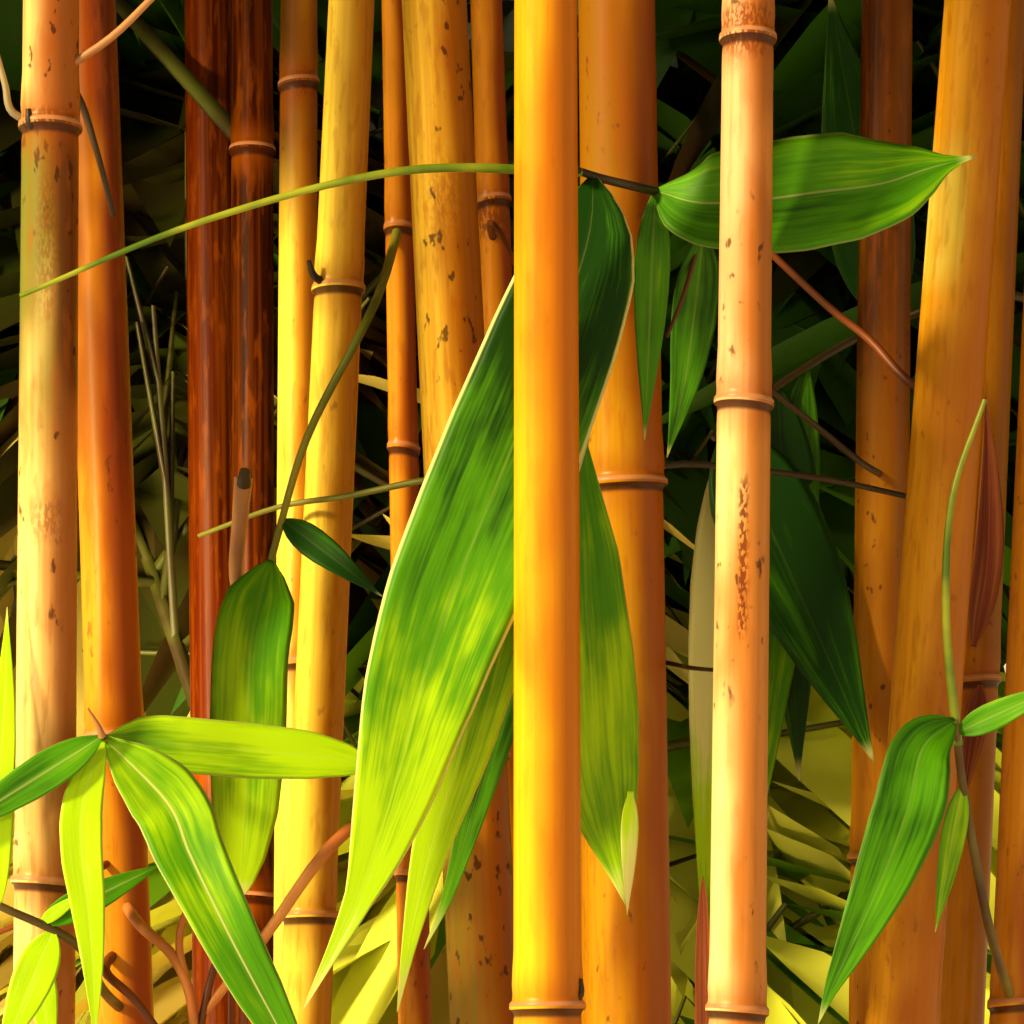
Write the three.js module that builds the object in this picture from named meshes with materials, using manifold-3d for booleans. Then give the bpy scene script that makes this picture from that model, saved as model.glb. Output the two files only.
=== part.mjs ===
// A clump of golden bamboo in a plain terracotta pot. Millimetres, +Z up, front towards -Y.
// The origin is the middle of the pot's flat underside. Every cane, spray and head of foliage is
// one closed solid of its own, and each stands GAP clear of what carries it.
import * as THREE from "three";
import { mergeVertices } from "three/addons/utils/BufferGeometryUtils.js";
import Module from "manifold-3d";

const wasm = await Module();
wasm.setup();

const GAP = 0.3; // between a piece and what carries it
const CLEAR = 0.6; // between neighbours that only pass each other
const RADIAN = Math.PI / 180;
const GOLDEN_TURN = 137.5; // degrees from one twig to the next round a stem

const POT = {
  height: 340,
  footRadius: 140,
  shoulderRadius: 186,
  rimRadius: 203,
  rimHeight: 46,
  rimSlope: 6,
  wall: 15,
  floor: 20,
  sides: 40,
};
const SOIL_TOP = 306; // height of the soil in the pot
const GROUND = SOIL_TOP + GAP; // the flat cut under every cane

const EYE = 700; // height of the middle of the stretch that is seen from close by
const FRONT = -115; // Y of the foremost cane
const ARCH_START = 820; // below this height the canes run straight
const SPLAY = 0.00018; // lean in Y for each millimetre from the clump's middle
const BARE_SHARE = 0.7; // share of a cane's height below its head of leaves

// Ring of a bamboo node: height from the ring's edge, and swelling of the cane there.
const RING_PROFILE = [
  [-2.5, 1.0],
  [0, 1.13],
  [6, 1.0],
];
const RING_SHRINK_DOWN = 0.76; // each lower joint is this much shorter
const RING_SHRINK_UP = 0.93; // and each higher one this much
const SHORTEST_JOINT = 60;
const ROOT_FLARE = { swell: 0.22, height: 16 };
const ROUNDER_CANES = 3; // the first canes of the list stand nearest and have more sides
const TAPER = { share: 0.86, power: 1.5 }; // how a cane thins towards its tip

// Canes: x and depth behind the foremost cane at eye height, lean to +X for each millimetre up,
// width at eye height, height of the tip, one node ring, the joint below it, the joint above it
// where that is out of step, and the arch outward.
const CANES = [
  { x: 6.4, depth: 0, lean: -0.002, width: 12.0, tip: 1840, ring: 608, joint: 206, arch: 200 },
  { x: 43.2, depth: 10, lean: 0.01, width: 10.2, tip: 1660, ring: 720, joint: 150, arch: 210, above: 68 },
  { x: 21.9, depth: 45, lean: -0.0137, width: 16.0, tip: 2010, ring: 705, joint: 188, arch: 120 },
  { x: -10.6, depth: 70, lean: -0.05, width: 14.0, tip: 1930, ring: 650, joint: 200, arch: 110 },
  { x: -88.8, depth: 25, lean: 0.009, width: 11.2, tip: 1720, ring: 773, joint: 190, arch: 260 },
  { x: -80.1, depth: 50, lean: -0.033, width: 10.9, tip: 1600, ring: 655, joint: 156, arch: 220 },
  { x: -69.7, depth: 190, lean: -0.012, width: 12.3, tip: 1880, ring: 640, joint: 188, arch: 230 },
  { x: -59.3, depth: 165, lean: 0.0, width: 10.2, tip: 1560, ring: 612, joint: 170, arch: 260 },
  { x: -46.5, depth: 120, lean: 0.004, width: 8.9, tip: 1460, ring: 792, joint: 165, arch: 200 },
  { x: -38.3, depth: 90, lean: 0.046, width: 10.4, tip: 1690, ring: 746, joint: 172, arch: 60 },
  { x: -22.9, depth: 110, lean: -0.02, width: 6.4, tip: 1240, ring: 713, joint: 120, arch: 130, above: 47 },
  { x: -1.9, depth: 100, lean: -0.033, width: 7.4, tip: 1350, ring: 765, joint: 122, arch: 120 },
  { x: 85.8, depth: 60, lean: 0.073, width: 13.8, tip: 1960, ring: 590, joint: 225, arch: 200 },
  { x: 81.0, depth: 130, lean: 0.01, width: 11.8, tip: 1800, ring: 768, joint: 190, arch: 240 },
  { x: 98.6, depth: 95, lean: 0.045, width: 9.9, tip: 1500, ring: 664, joint: 160, arch: 230 },
  { x: 106.9, depth: 75, lean: 0.043, width: 9.0, tip: 1420, ring: 599, joint: 215, arch: 260 },
  { x: -128, depth: 125, lean: -0.03, width: 10.4, tip: 1540, ring: 640, joint: 172, arch: 230 },
  { x: 132, depth: 165, lean: 0.03, width: 10.8, tip: 1620, ring: 660, joint: 176, arch: 230 },
  { x: 22, depth: 212, lean: 0.0, width: 11.6, tip: 1770, ring: 630, joint: 184, arch: 240 },
].map((cane, i) => ({
  ...cane,
  name: "cane_" + String(i + 1).padStart(2, "0"),
  y: FRONT + cane.depth,
  sides: i < ROUNDER_CANES ? 8 : 6,
}));

// Side branches: the cane, the height above which the first free ring carries it, and the way it
// heads, in degrees from +X towards +Y.
const BRANCHES = [
  { cane: 5, above: 860, heading: 205 },
  { cane: 17, above: 780, heading: 175 },
  { cane: 7, above: 600, heading: 112 },
  { cane: 19, above: 560, heading: 88 },
  { cane: 8, above: 700, heading: 138 },
  { cane: 14, above: 900, heading: 55 },
  { cane: 18, above: 760, heading: 5 },
  { cane: 13, above: 960, heading: 335 },
  { cane: 16, above: 790, heading: 345 },
  { cane: 2, above: 930, heading: 300 },
  { cane: 1, above: 980, heading: 255 },
  { cane: 6, above: 900, heading: 238 },
  { cane: 19, above: 400, heading: 94 },
  { cane: 18, above: 560, heading: 72 },
];
const BRANCH = {
  seed: 500,
  length: 330,
  rise: 44, // degrees above the level
  droop: 75,
  radius: 2.3,
  thinning: 0.5, // share of the radius lost by its end
  steps: 3,
  firstTwig: 0.35, // share of the stem's length
  twigs: 3,
  leaves: 3, // on each twig
  tipLeaves: 1, // at the stem's own end
  turns: [-58, 58], // degrees from the stem's heading, for one twig after the other
  size: 0.92, // of its leaves
};
const HEAD = {
  seed: 100,
  steps: 4,
  thinnest: 1.1,
  stoutness: 0.9, // the leader's radius, as a share of what the cane's would be
  firstTwig: 0.1,
  twigs: 3,
  leaves: 3,
  tipLeaves: 2,
  size: 0.8,
  growth: 0.25, // added to the size of the leaves on the tallest cane
};
const TWIG = {
  length: 130,
  rise: 8, // degrees above the level
  radius: 1.5,
  thinning: 0.4, // share of the radius lost by its end
  shortening: 0.35, // share of the length lost by twigs at the stem's end
  scatter: 0.4, // share of the stretch between two twigs
  turnScatter: 30, // degrees
  riseScatter: 24,
};
const LEAF = {
  length: 178,
  width: 0.185, // these three are shares of the leaf's length
  thickness: 0.016,
  sag: 0.05,
  station: 0.4, // where along its length a leaf of the crown is widest
  fan: 34, // degrees between neighbours on a twig
  fanScatter: 16,
  droop: 34, // degrees below the level
  lastFoot: 0.96, // shares of the twig's length
  footStep: 0.16,
};
const LEAF_LENGTHS = [0.82, 1.12]; // shares of the full length, from the shortest to the longest
const LEAF_DIPS = [0.55, 1.45]; // the same for how far it droops
const TWIG_LENGTHS = [0.75, 1.25];
const STEM_LENGTHS = [0.85, 1.15];
const WIDEST = 0.34; // where along its length a leaf is widest
const TIP_POWER = 1.8; // how its edges run in to the tip
const FUSE_TOLERANCE = 0.02;
const PATH_SAMPLES = 60; // points tried on a path in the search for its nearest
const TRIES = 5;
const TRY_TURN = 31; // degrees that a twig or leaf is turned for another try

// The stretch of bare canes that is seen from the front stays free of the crown's leaves.
const BARE_FRONT = new THREE.Box3(
  new THREE.Vector3(-118, -900, 585),
  new THREE.Vector3(122, -52, 818),
);

// Sprays that hang by themselves in the bare stretch. Each leaves its cane's middle at a height,
// and each leaf goes from its foot to its tip.
const FACING_FRONT = new THREE.Vector3(0.1, -1, 0.25);
const FRONT_SPRAY = {
  name: "spray_front",
  cane: 14,
  from: 768,
  stem: [[50.4, -45, 760.3], [27.5, -87, 761.6], [16.8, -93, 763.6], [10, -99, 765.4]],
  leaves: [
    { foot: [16.1, -94, 763], tip: [-38.7, -113, 607.8], width: 28.5, bow: 3 },
    { foot: [15.4, -93, 763], tip: [-21, -104, 606.7], width: 20, bow: 3 },
    { foot: [16.6, -91, 763], tip: [-16, -94, 617.2], width: 15, bow: 6 },
    { foot: [13.6, -93, 764], tip: [22.1, -92, 625.2], width: 18, bow: -5 },
    { foot: [26, -87, 761.7], tip: [90.6, -68, 770.1], width: 24, bow: 0 },
    { foot: [29, -87, 761], tip: [25.6, -83, 713.9], width: 8, bow: 0 },
  ],
  roll: [[13, -96, 764.5], [-21, -103, 764], [-58.4, -105, 754.3], [-91.9, -107, 740.3]],
};
const RIGHT_SPRAY = {
  name: "spray_right",
  cane: 16,
  from: 599,
  stem: [[94.5, -65, 617.3], [88.2, -77, 643.9], [85.5, -83, 659.8]],
  leaves: [
    { foot: [85.9, -83, 660], tip: [57.5, -103, 604.2], width: 17, bow: 0 },
    { foot: [87.4, -79, 648], tip: [82.6, -75, 618], width: 5, bow: 0 },
    { foot: [86, -82, 657.5], tip: [106, -91, 667.5], width: 5.5, bow: 1 },
  ],
  roll: [[86.2, -81, 655], [83.7, -84, 679.2], [84.8, -84, 702.3], [91.4, -82, 721.7]],
};
const LEFT_SPRAY = {
  name: "spray_left",
  cane: 6,
  from: 655.5,
  stem: [[-78.6, -82, 656], [-77.4, -99, 657.6]],
  leaves: [
    { foot: [-77.5, -97, 657], tip: [-39.7, -110, 601.7], width: 12, bow: 0 },
    { foot: [-77.9, -97, 657.4], tip: [-78.2, -107, 604.5], width: 8, bow: 1 },
    { foot: [-77.2, -98, 657.4], tip: [-100.5, -104, 642], width: 7, bow: 1 },
    { foot: [-78.6, -85, 656.2], tip: [-29, -79, 651.3], width: 10, bow: 0 },
  ],
};
const INNER_SPRAY = {
  name: "spray_inner",
  cane: 11,
  from: 761.5,
  stem: [[-27, -22, 748], [-31, -36, 737], [-42, -41, 714.8], [-49, -44, 690.2]],
  leaves: [
    { foot: [-48.6, -43.6, 692], tip: [-54.8, -51, 624.8], width: 16, bow: 0 },
    { foot: [-46.2, -42.7, 700], tip: [-26.1, -53, 683], width: 6.5, bow: 1 },
  ],
};
const LOW_SPRAY = {
  name: "spray_low",
  cane: 6,
  from: 601,
  stem: [[-79, -84, 608], [-82.6, -98, 618.5], [-96.2, -104, 626.2]],
  leaves: [
    { foot: [-86, -100.5, 621], tip: [-95.9, -109, 597], width: 9, bow: 0 },
    { foot: [-87.5, -101, 622.5], tip: [-66.3, -91, 633], width: 6, bow: 0 },
  ],
};
const BACK_SPRAY = {
  name: "spray_back",
  cane: 18,
  from: 742,
  stem: [[108, 22, 748], [84, 34, 742], [62, 26, 730], [44, 14, 716]],
  leaves: [
    { foot: [46, 15, 718], tip: [77.7, -1, 646.3], width: 24, bow: 0 },
    { foot: [50, 18, 721], tip: [42, 13, 600], width: 17, bow: 3 },
    { foot: [60, 25, 729], tip: [64, 30, 640], width: 16, bow: -4 },
    { foot: [84, 34, 742], tip: [70, 22, 815], width: 20, bow: 2 },
  ],
};
const NEAR_SPRAYS = [FRONT_SPRAY, RIGHT_SPRAY, LEFT_SPRAY, INNER_SPRAY, LOW_SPRAY, BACK_SPRAY];
const NEAR = {
  steps: 6,
  stemRadius: 1.1,
  stemThinning: 0.3,
  leafThickness: 0.9,
  leafThicknessShare: 0.011,
  stations: [0.12, 0.34, 0.6, 0.84],
  rollSteps: 7,
  rollRadius: 0.9,
  rollThinning: 0.7,
};

const COLOURS = {
  terracotta: { color: 0xb5643c, roughness: 0.85 },
  soil: { color: 0x3b2a1e, roughness: 1.0 },
  cane: { color: 0xe8a01f, roughness: 0.42 },
  leaf: { color: 0x4f8a1c, roughness: 0.5 },
};

/** A seeded source of numbers from 0 to 1. */
function seeded(seed) {
  let state = seed >>> 0;
  return () => {
    state = (state + 0x6d2b79f5) >>> 0;
    let mixed = Math.imul(state ^ (state >>> 15), state | 1);
    mixed ^= mixed + Math.imul(mixed ^ (mixed >>> 7), mixed | 61);
    return ((mixed ^ (mixed >>> 14)) >>> 0) / 4294967296;
  };
}

/** A random share between the two ends of a range. */
function within(range, random) {
  return range[0] + (range[1] - range[0]) * random();
}

/** A random angle that scatters evenly about zero over so many degrees. */
function scattered(degrees, random) {
  return degrees * (random() - 0.5);
}

/** A unit vector that heads round from +X by degrees and rises above the level by degrees. */
function towards(heading, rise) {
  const level = Math.cos(rise * RADIAN);
  return new THREE.Vector3(
    Math.cos(heading * RADIAN) * level,
    Math.sin(heading * RADIAN) * level,
    Math.sin(rise * RADIAN),
  );
}

/** A closed geometry as a solid whose faces point out. */
function solidOf(geometry) {
  geometry.deleteAttribute("normal");
  geometry.deleteAttribute("uv");
  const merged = mergeVertices(geometry, 1e-4);
  const place = (i) => new THREE.Vector3().fromBufferAttribute(merged.attributes.position, i);
  const faces = [];
  let volume = 0;
  for (let i = 0; i < merged.index.count; i += 3) {
    const [a, b, c] = [0, 1, 2].map((k) => merged.index.getX(i + k));
    if (a === b || b === c || c === a) continue;
    faces.push([a, b, c]);
    volume += place(a).dot(place(b).cross(place(c)));
  }
  const triVerts = new Uint32Array(faces.flatMap(([a, b, c]) => (volume < 0 ? [a, c, b] : [a, b, c])));
  const vertProperties = merged.attributes.position.array;
  return new wasm.Manifold(new wasm.Mesh({ numProp: 3, vertProperties, triVerts }));
}

/** A turned profile of [radius, along] points whose every vertex is then put in its place. */
function turned(profile, sides, place) {
  const points = profile.map(([radius, along]) => new THREE.Vector2(radius, along));
  const geometry = new THREE.LatheGeometry(points, sides);
  const position = geometry.attributes.position;
  const vertex = new THREE.Vector3();
  for (let i = 0; i < position.count; i++) {
    vertex.fromBufferAttribute(position, i);
    const put = place(vertex.x, vertex.y, vertex.z);
    position.setXYZ(i, put.x, put.y, put.z);
  }
  return solidOf(geometry);
}

/** How far up a cane a height is, from 0 at the soil to 1 at its tip. */
function shareUp(cane, height) {
  return THREE.MathUtils.clamp((height - SOIL_TOP) / (cane.tip - SOIL_TOP), 0, 1);
}

/** The middle of a cane at a height: straight past eye height, then arching outwards. */
function caneAt(cane, height) {
  const rise = height - EYE;
  const bend = Math.max(0, (height - ARCH_START) / (cane.tip - ARCH_START)) ** 2 * cane.arch;
  const away = Math.hypot(cane.x, cane.y);
  return new THREE.Vector3(
    cane.x + cane.lean * rise + (bend * cane.x) / away,
    cane.y + SPLAY * cane.y * rise + (bend * cane.y) / away,
    height,
  );
}

/** A cane's radius between its rings at a height. */
function caneRadius(cane, height) {
  const thinned = (at) => 1 - TAPER.share * shareUp(cane, at) ** TAPER.power;
  return ((cane.width / 2) * thinned(height)) / thinned(EYE);
}

/** Where a cane's own solid ends and its head of leaves begins. */
function caneTop(cane) {
  return SOIL_TOP + BARE_SHARE * (cane.tip - SOIL_TOP);
}

/** The heights of a cane's node rings, from the soil up to its tip. */
function ringHeights(cane) {
  const heights = [cane.ring];
  let joint = cane.above ?? cane.joint;
  let up = cane.joint;
  for (let at = cane.ring + joint; at < cane.tip; at += joint) {
    heights.push(at);
    up = Math.max(SHORTEST_JOINT, up * RING_SHRINK_UP);
    joint = up;
  }
  joint = cane.joint * RING_SHRINK_DOWN;
  for (let at = cane.ring - joint; at > SOIL_TOP + SHORTEST_JOINT; at -= joint) {
    heights.unshift(at);
    joint = Math.max(SHORTEST_JOINT, joint * RING_SHRINK_DOWN);
  }
  return heights;
}

/** A cane from its flat cut at the soil to its top, proud of its own surface by a margin. */
function caneSolid(cane, margin = 0) {
  const top = caneTop(cane) + margin;
  const profile = [
    [0, GROUND],
    [caneRadius(cane, GROUND) * (1 + ROOT_FLARE.swell) + margin, GROUND],
    [caneRadius(cane, GROUND) + margin, GROUND + ROOT_FLARE.height],
  ];
  for (const ring of ringHeights(cane)) {
    if (ring > top - SHORTEST_JOINT) continue;
    for (const [rise, swell] of RING_PROFILE) {
      profile.push([caneRadius(cane, ring) * swell + margin, ring + rise]);
    }
  }
  profile.push([caneRadius(cane, top) + margin, top], [0, top]);
  return turned(profile, cane.sides, (x, along, z) => caneAt(cane, along).add(new THREE.Vector3(x, z, 0)));
}

/** A tapering three-sided limb along a path, which is a function of 0 to 1. */
function limb(path, radiusAt, steps) {
  const profile = [[0, 0]];
  for (let i = 0; i <= steps; i++) profile.push([1, i / steps]);
  profile.push([0, 1]);
  return turned(profile, 3, (x, along, z) => {
    const here = path(along);
    const ahead = path(Math.min(1, along + 0.01)).sub(path(Math.max(0, along - 0.01))).normalize();
    const side = new THREE.Vector3(0, 0, 1).cross(ahead);
    if (side.length() < 0.1) side.set(1, 0, 0);
    side.normalize();
    const over = ahead.clone().cross(side);
    const radius = radiusAt(along);
    return here.addScaledVector(side, x * radius).addScaledVector(over, z * radius);
  });
}

/** A path through hand-placed points. */
function through(points) {
  const curve = new THREE.CatmullRomCurve3(points.map((point) => new THREE.Vector3(...point)));
  return (along) => curve.getPoint(along);
}

/** A path that sets off from a point and sinks by droop at its end. */
function drooping(start, direction, length, droop) {
  return (along) =>
    start
      .clone()
      .addScaledVector(direction, length * along)
      .add(new THREE.Vector3(0, 0, -droop * along * along));
}

/** A path drawn straight between even stations, just as a limb of so many steps follows it. */
function chorded(path, steps) {
  const stations = [];
  for (let i = 0; i <= steps; i++) stations.push(path(i / steps));
  return (along) => {
    const i = Math.min(steps - 1, Math.floor(along * steps));
    return stations[i].clone().lerp(stations[i + 1], along * steps - i);
  };
}

/** The point of a path that lies nearest to a given one. */
function nearestOn(path, point) {
  let best = path(0);
  for (let i = 1; i <= PATH_SAMPLES; i++) {
    const here = path(i / PATH_SAMPLES);
    if (here.distanceTo(point) < best.distanceTo(point)) best = here;
  }
  return best;
}

/** The width of a bamboo leaf along its length, as a share of its full width. */
function leafOutline(along) {
  if (along < WIDEST) return Math.sqrt(1 - (1 - along / WIDEST) ** 2);
  return 1 - ((along - WIDEST) / (1 - WIDEST)) ** TIP_POWER;
}

/** A leaf from its foot to its tip: flat below and keeled above, so one station gives six faces. */
function leafSolid({ foot, tip, width, thickness, facing, sag = 0, bow = 0, stations }) {
  const ahead = tip.clone().sub(foot);
  const side = ahead.clone().cross(facing).normalize();
  const over = side.clone().cross(ahead).normalize();
  const halfWidth = width / 2 / Math.sin(120 * RADIAN);
  const profile = [[0, 0], ...stations.map((along) => [1, along]), [0, 1]];
  return turned(profile, 3, (x, along, z) => {
    const share = leafOutline(along);
    const hump = 4 * along * (1 - along);
    return foot
      .clone()
      .addScaledVector(ahead, along)
      .addScaledVector(side, x * share * halfWidth + hump * bow)
      .addScaledVector(over, (z * thickness) / 1.5)
      .add(new THREE.Vector3(0, 0, sag * hump));
  });
}

/** True where two boxes, each with min and max, come within CLEAR of each other. */
function boxesMeet(a, b) {
  return [0, 1, 2].every((k) => a.min[k] - CLEAR < b.max[k] && b.min[k] - CLEAR < a.max[k]);
}

/** True where a solid keeps CLEAR of each of the others. */
function isClear(solid, others) {
  const box = solid.boundingBox();
  return others.every(
    (other) => !boxesMeet(box, other.box) || solid.minGap(other.solid, CLEAR) > CLEAR * 0.99,
  );
}

/** A solid with its box, as isClear wants it. */
function boxed(solid) {
  return { solid, box: solid.boundingBox() };
}

/** True where a solid reaches into the bare front. */
function hidesBareFront(solid) {
  const { min, max } = solid.boundingBox();
  return BARE_FRONT.intersectsBox(new THREE.Box3(new THREE.Vector3(...min), new THREE.Vector3(...max)));
}

/** The first of a few turned tries that fits, or null. */
function firstThatFits(others, make) {
  for (let attempt = 0; attempt < TRIES; attempt++) {
    const turn = Math.ceil(attempt / 2) * (attempt % 2 ? TRY_TURN : -TRY_TURN);
    const made = make(turn);
    if (!hidesBareFront(made.solid) && isClear(made.solid, others)) return made;
  }
  return null;
}

/** The leaves at the end of a path, fanned about its heading, each with its foot on the path. */
function tipLeaves({ random, path, heading, count, size, others }) {
  const found = [];
  for (let i = 0; i < count; i++) {
    const spread = (i - (count - 1) / 2) * LEAF.fan;
    const length = LEAF.length * size * within(LEAF_LENGTHS, random);
    const aim = heading + spread + scattered(LEAF.fanScatter, random);
    const dip = -LEAF.droop * within(LEAF_DIPS, random);
    const foot = path(LEAF.lastFoot - LEAF.footStep * (count - 1 - i));
    const leaf = firstThatFits(others, (turn) => ({
      solid: leafSolid({
        foot,
        tip: foot.clone().addScaledVector(towards(aim + turn, dip), length),
        width: length * LEAF.width,
        thickness: length * LEAF.thickness,
        facing: towards(aim + turn, dip + 90),
        sag: length * LEAF.sag,
        stations: [LEAF.station],
      }),
    }));
    if (leaf) found.push(leaf.solid);
  }
  return found;
}

/** Twigs with their leaves along a stem, by a seeded rule. */
function growTwigs({ random, stem, plan, headingOf, size, others }) {
  const parts = [];
  const taken = [];
  for (let i = 0; i < plan.twigs; i++) {
    const stretch = (1 - plan.firstTwig) / plan.twigs;
    const at = plan.firstTwig + stretch * (i + TWIG.scatter * random());
    const length = TWIG.length * size * within(TWIG_LENGTHS, random) * (1 - TWIG.shortening * at);
    const rise = TWIG.rise + scattered(TWIG.riseScatter, random);
    const heading = headingOf(i) + scattered(TWIG.turnScatter, random);
    const start = stem(at);
    const twig = firstThatFits([...others, ...taken], (turn) => {
      const end = start.clone().addScaledVector(towards(heading + turn, rise), length);
      const path = (along) => start.clone().lerp(end, along);
      const radiusAt = (along) => TWIG.radius * (1 - TWIG.thinning * along);
      return { solid: limb(path, radiusAt, 1), path, turn };
    });
    if (!twig) continue;
    const grown = tipLeaves({
      random,
      path: twig.path,
      heading: heading + twig.turn,
      count: plan.leaves,
      size,
      others: [...others, ...taken],
    });
    if (!grown.length) continue;
    parts.push(twig.solid, ...grown);
    taken.push(...grown.map(boxed));
  }
  const crest = tipLeaves({
    random,
    path: stem,
    heading: headingOf(0),
    count: plan.tipLeaves,
    size,
    others: [...others, ...taken],
  });
  return [...parts, ...crest];
}

/** Pieces fused into one body, with any scrap that came loose left out. */
function fused(parts, cut) {
  let whole = wasm.Manifold.union(parts);
  if (cut) whole = whole.subtract(cut);
  const bodies = whole.simplify(FUSE_TOLERANCE).decompose();
  return bodies.reduce((a, b) => (a.volume() > b.volume() ? a : b));
}

/** The path of a cane's leader, from the cane's top to its tip. */
function leaderPath(cane) {
  const bottom = caneTop(cane);
  return chorded((along) => caneAt(cane, bottom + along * (cane.tip - bottom)), HEAD.steps);
}

/** The leader that carries a cane on through its head of leaves. */
function leaderSolid(cane) {
  const path = leaderPath(cane);
  const radiusAt = (along) => Math.max(HEAD.thinnest, caneRadius(cane, path(along).z) * HEAD.stoutness);
  return limb(path, radiusAt, HEAD.steps);
}

/** The head of leaves at the top of a cane. */
function headSolid(cane, number, others) {
  const outward = Math.atan2(cane.y, cane.x) / RADIAN;
  const parts = growTwigs({
    random: seeded(HEAD.seed + number),
    stem: leaderPath(cane),
    plan: HEAD,
    headingOf: (i) => outward + i * GOLDEN_TURN,
    size: HEAD.size + HEAD.growth * shareUp(tallest, cane.tip),
    others,
  });
  return fused([leaderSolid(cane), ...parts], caneSolid(cane, GAP));
}

/** A leafy side branch that leaves its cane at a node ring. */
function branchSolid(branch, number, others) {
  const random = seeded(BRANCH.seed + number);
  const cane = CANES[branch.cane - 1];
  const ring = ringHeights(cane).find((height) => height > branch.above);
  const start = caneAt(cane, ring + RING_PROFILE[1][0]);
  const length = BRANCH.length * within(STEM_LENGTHS, random);
  const heading = towards(branch.heading, BRANCH.rise);
  const stem = chorded(drooping(start, heading, length, BRANCH.droop), BRANCH.steps);
  const foreign = others.filter((other) => other.cane !== cane);
  const wood = limb(stem, (along) => BRANCH.radius * (1 - BRANCH.thinning * along), BRANCH.steps);
  if (!isClear(wood, foreign)) console.warn("branch " + number + " runs into a neighbour");
  const parts = growTwigs({
    random,
    stem,
    plan: BRANCH,
    headingOf: (i) => branch.heading + BRANCH.turns[i % BRANCH.turns.length],
    size: BRANCH.size,
    others,
  });
  return fused([wood, ...parts], caneSolid(cane, GAP));
}

/** A spray that hangs by itself in the bare stretch, leaf by leaf. */
function nearSpraySolid(spray, others) {
  const cane = CANES[spray.cane - 1];
  const foreign = others.filter((other) => other.cane !== cane);
  const start = caneAt(cane, spray.from).toArray();
  const stem = chorded(through([start, ...spray.stem]), NEAR.steps);
  const stemRadiusAt = (along) => NEAR.stemRadius * (1 - NEAR.stemThinning * along);
  const parts = [limb(stem, stemRadiusAt, NEAR.steps)];
  for (const { foot, tip, width, bow } of spray.leaves) {
    const root = nearestOn(stem, new THREE.Vector3(...foot));
    const end = new THREE.Vector3(...tip);
    parts.push(
      leafSolid({
        foot: root,
        tip: end,
        width,
        bow,
        thickness: Math.max(NEAR.leafThickness, root.distanceTo(end) * NEAR.leafThicknessShare),
        facing: FACING_FRONT,
        stations: NEAR.stations,
      }),
    );
  }
  if (spray.roll) {
    const root = nearestOn(stem, new THREE.Vector3(...spray.roll[0]));
    const roll = through([root.toArray(), ...spray.roll.slice(1)]);
    const rollRadiusAt = (along) => NEAR.rollRadius * (1 - NEAR.rollThinning * along);
    parts.push(limb(roll, rollRadiusAt, NEAR.rollSteps));
  }
  for (const [i, piece] of parts.entries()) {
    const met = foreign.filter((other) => !isClear(piece, [other])).map((other) => other.name);
    if (met.length) console.warn(spray.name + ": piece " + i + " runs into " + met);
  }
  return fused(parts, caneSolid(cane, GAP));
}

/** The radius of the pot's inside at a height. */
function potInside(height) {
  const share = (height - POT.floor) / (POT.height - POT.floor);
  return POT.footRadius - POT.wall + share * (POT.shoulderRadius - POT.footRadius);
}

/** The pot's profile: a plain tapering wall with an upright rim, open at the top, on a flat foot. */
function potProfile() {
  const shoulder = POT.height - POT.rimHeight;
  return [
    [0, 0],
    [POT.footRadius, 0],
    [POT.shoulderRadius, shoulder],
    [POT.rimRadius, shoulder + POT.rimSlope],
    [POT.rimRadius, POT.height],
    [potInside(POT.height), POT.height],
    [potInside(POT.floor), POT.floor],
    [0, POT.floor],
  ];
}

/** The soil's profile, GAP clear of the pot all round. */
function soilProfile() {
  const bottom = POT.floor + GAP;
  return [
    [0, bottom],
    [potInside(bottom) - 2 * GAP, bottom],
    [potInside(SOIL_TOP) - 2 * GAP, SOIL_TOP],
    [0, SOIL_TOP],
  ];
}

/** A profile turned about the pot's upright middle. */
function upright(profile, sides) {
  return turned(profile, sides, (x, along, z) => new THREE.Vector3(x, z, along));
}

const group = new THREE.Group();

/** Adds a solid to the group as a named mesh of its own colour. */
function add(name, solid, look) {
  const mesh = solid.getMesh();
  const geometry = new THREE.BufferGeometry();
  geometry.setAttribute("position", new THREE.BufferAttribute(new Float32Array(mesh.vertProperties), 3));
  geometry.setIndex(new THREE.BufferAttribute(new Uint32Array(mesh.triVerts), 1));
  geometry.computeVertexNormals();
  const made = new THREE.Mesh(geometry, new THREE.MeshStandardMaterial({ ...look, metalness: 0 }));
  made.name = name;
  group.add(made);
}

const tallest = CANES.reduce((a, b) => (a.tip > b.tip ? a : b));
add("pot", upright(potProfile(), POT.sides), COLOURS.terracotta);
add("soil", upright(soilProfile(), POT.sides), COLOURS.soil);

// What stands already, for the rest to keep clear of. The leaders are only kept free here.
const standing = CANES.map((cane) => ({ ...boxed(leaderSolid(cane)), leads: cane, name: cane.name }));
for (const cane of CANES) {
  const solid = caneSolid(cane);
  add(cane.name, solid, COLOURS.cane);
  if (!isClear(solid, standing.filter((other) => other.leads !== cane))) {
    console.warn(cane.name + " runs into another");
  }
  standing.push({ ...boxed(solid), cane, name: cane.name });
}
for (const spray of NEAR_SPRAYS) {
  const solid = nearSpraySolid(spray, standing);
  add(spray.name, solid, COLOURS.leaf);
  standing.push({ ...boxed(solid), name: spray.name });
}
BRANCHES.forEach((branch, i) => {
  const name = "branch_" + String(i + 1).padStart(2, "0");
  const solid = branchSolid(branch, i + 1, standing);
  add(name, solid, COLOURS.leaf);
  standing.push({ ...boxed(solid), name });
});
CANES.forEach((cane, i) => {
  const name = "head_" + String(i + 1).padStart(2, "0");
  const others = standing.filter((other) => other.leads !== cane);
  const solid = headSolid(cane, i + 1, others);
  add(name, solid, COLOURS.leaf);
  standing.push({ ...boxed(solid), name });
});

export default group;
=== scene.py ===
"""A potted golden bamboo: the finished look of the clump and its pot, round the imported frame.

Sizes are in millimetres, as they would be measured on the plant, and become Blender's metres
where a mesh is made. +Z is up, and the front of the clump faces -Y.
"""

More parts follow.
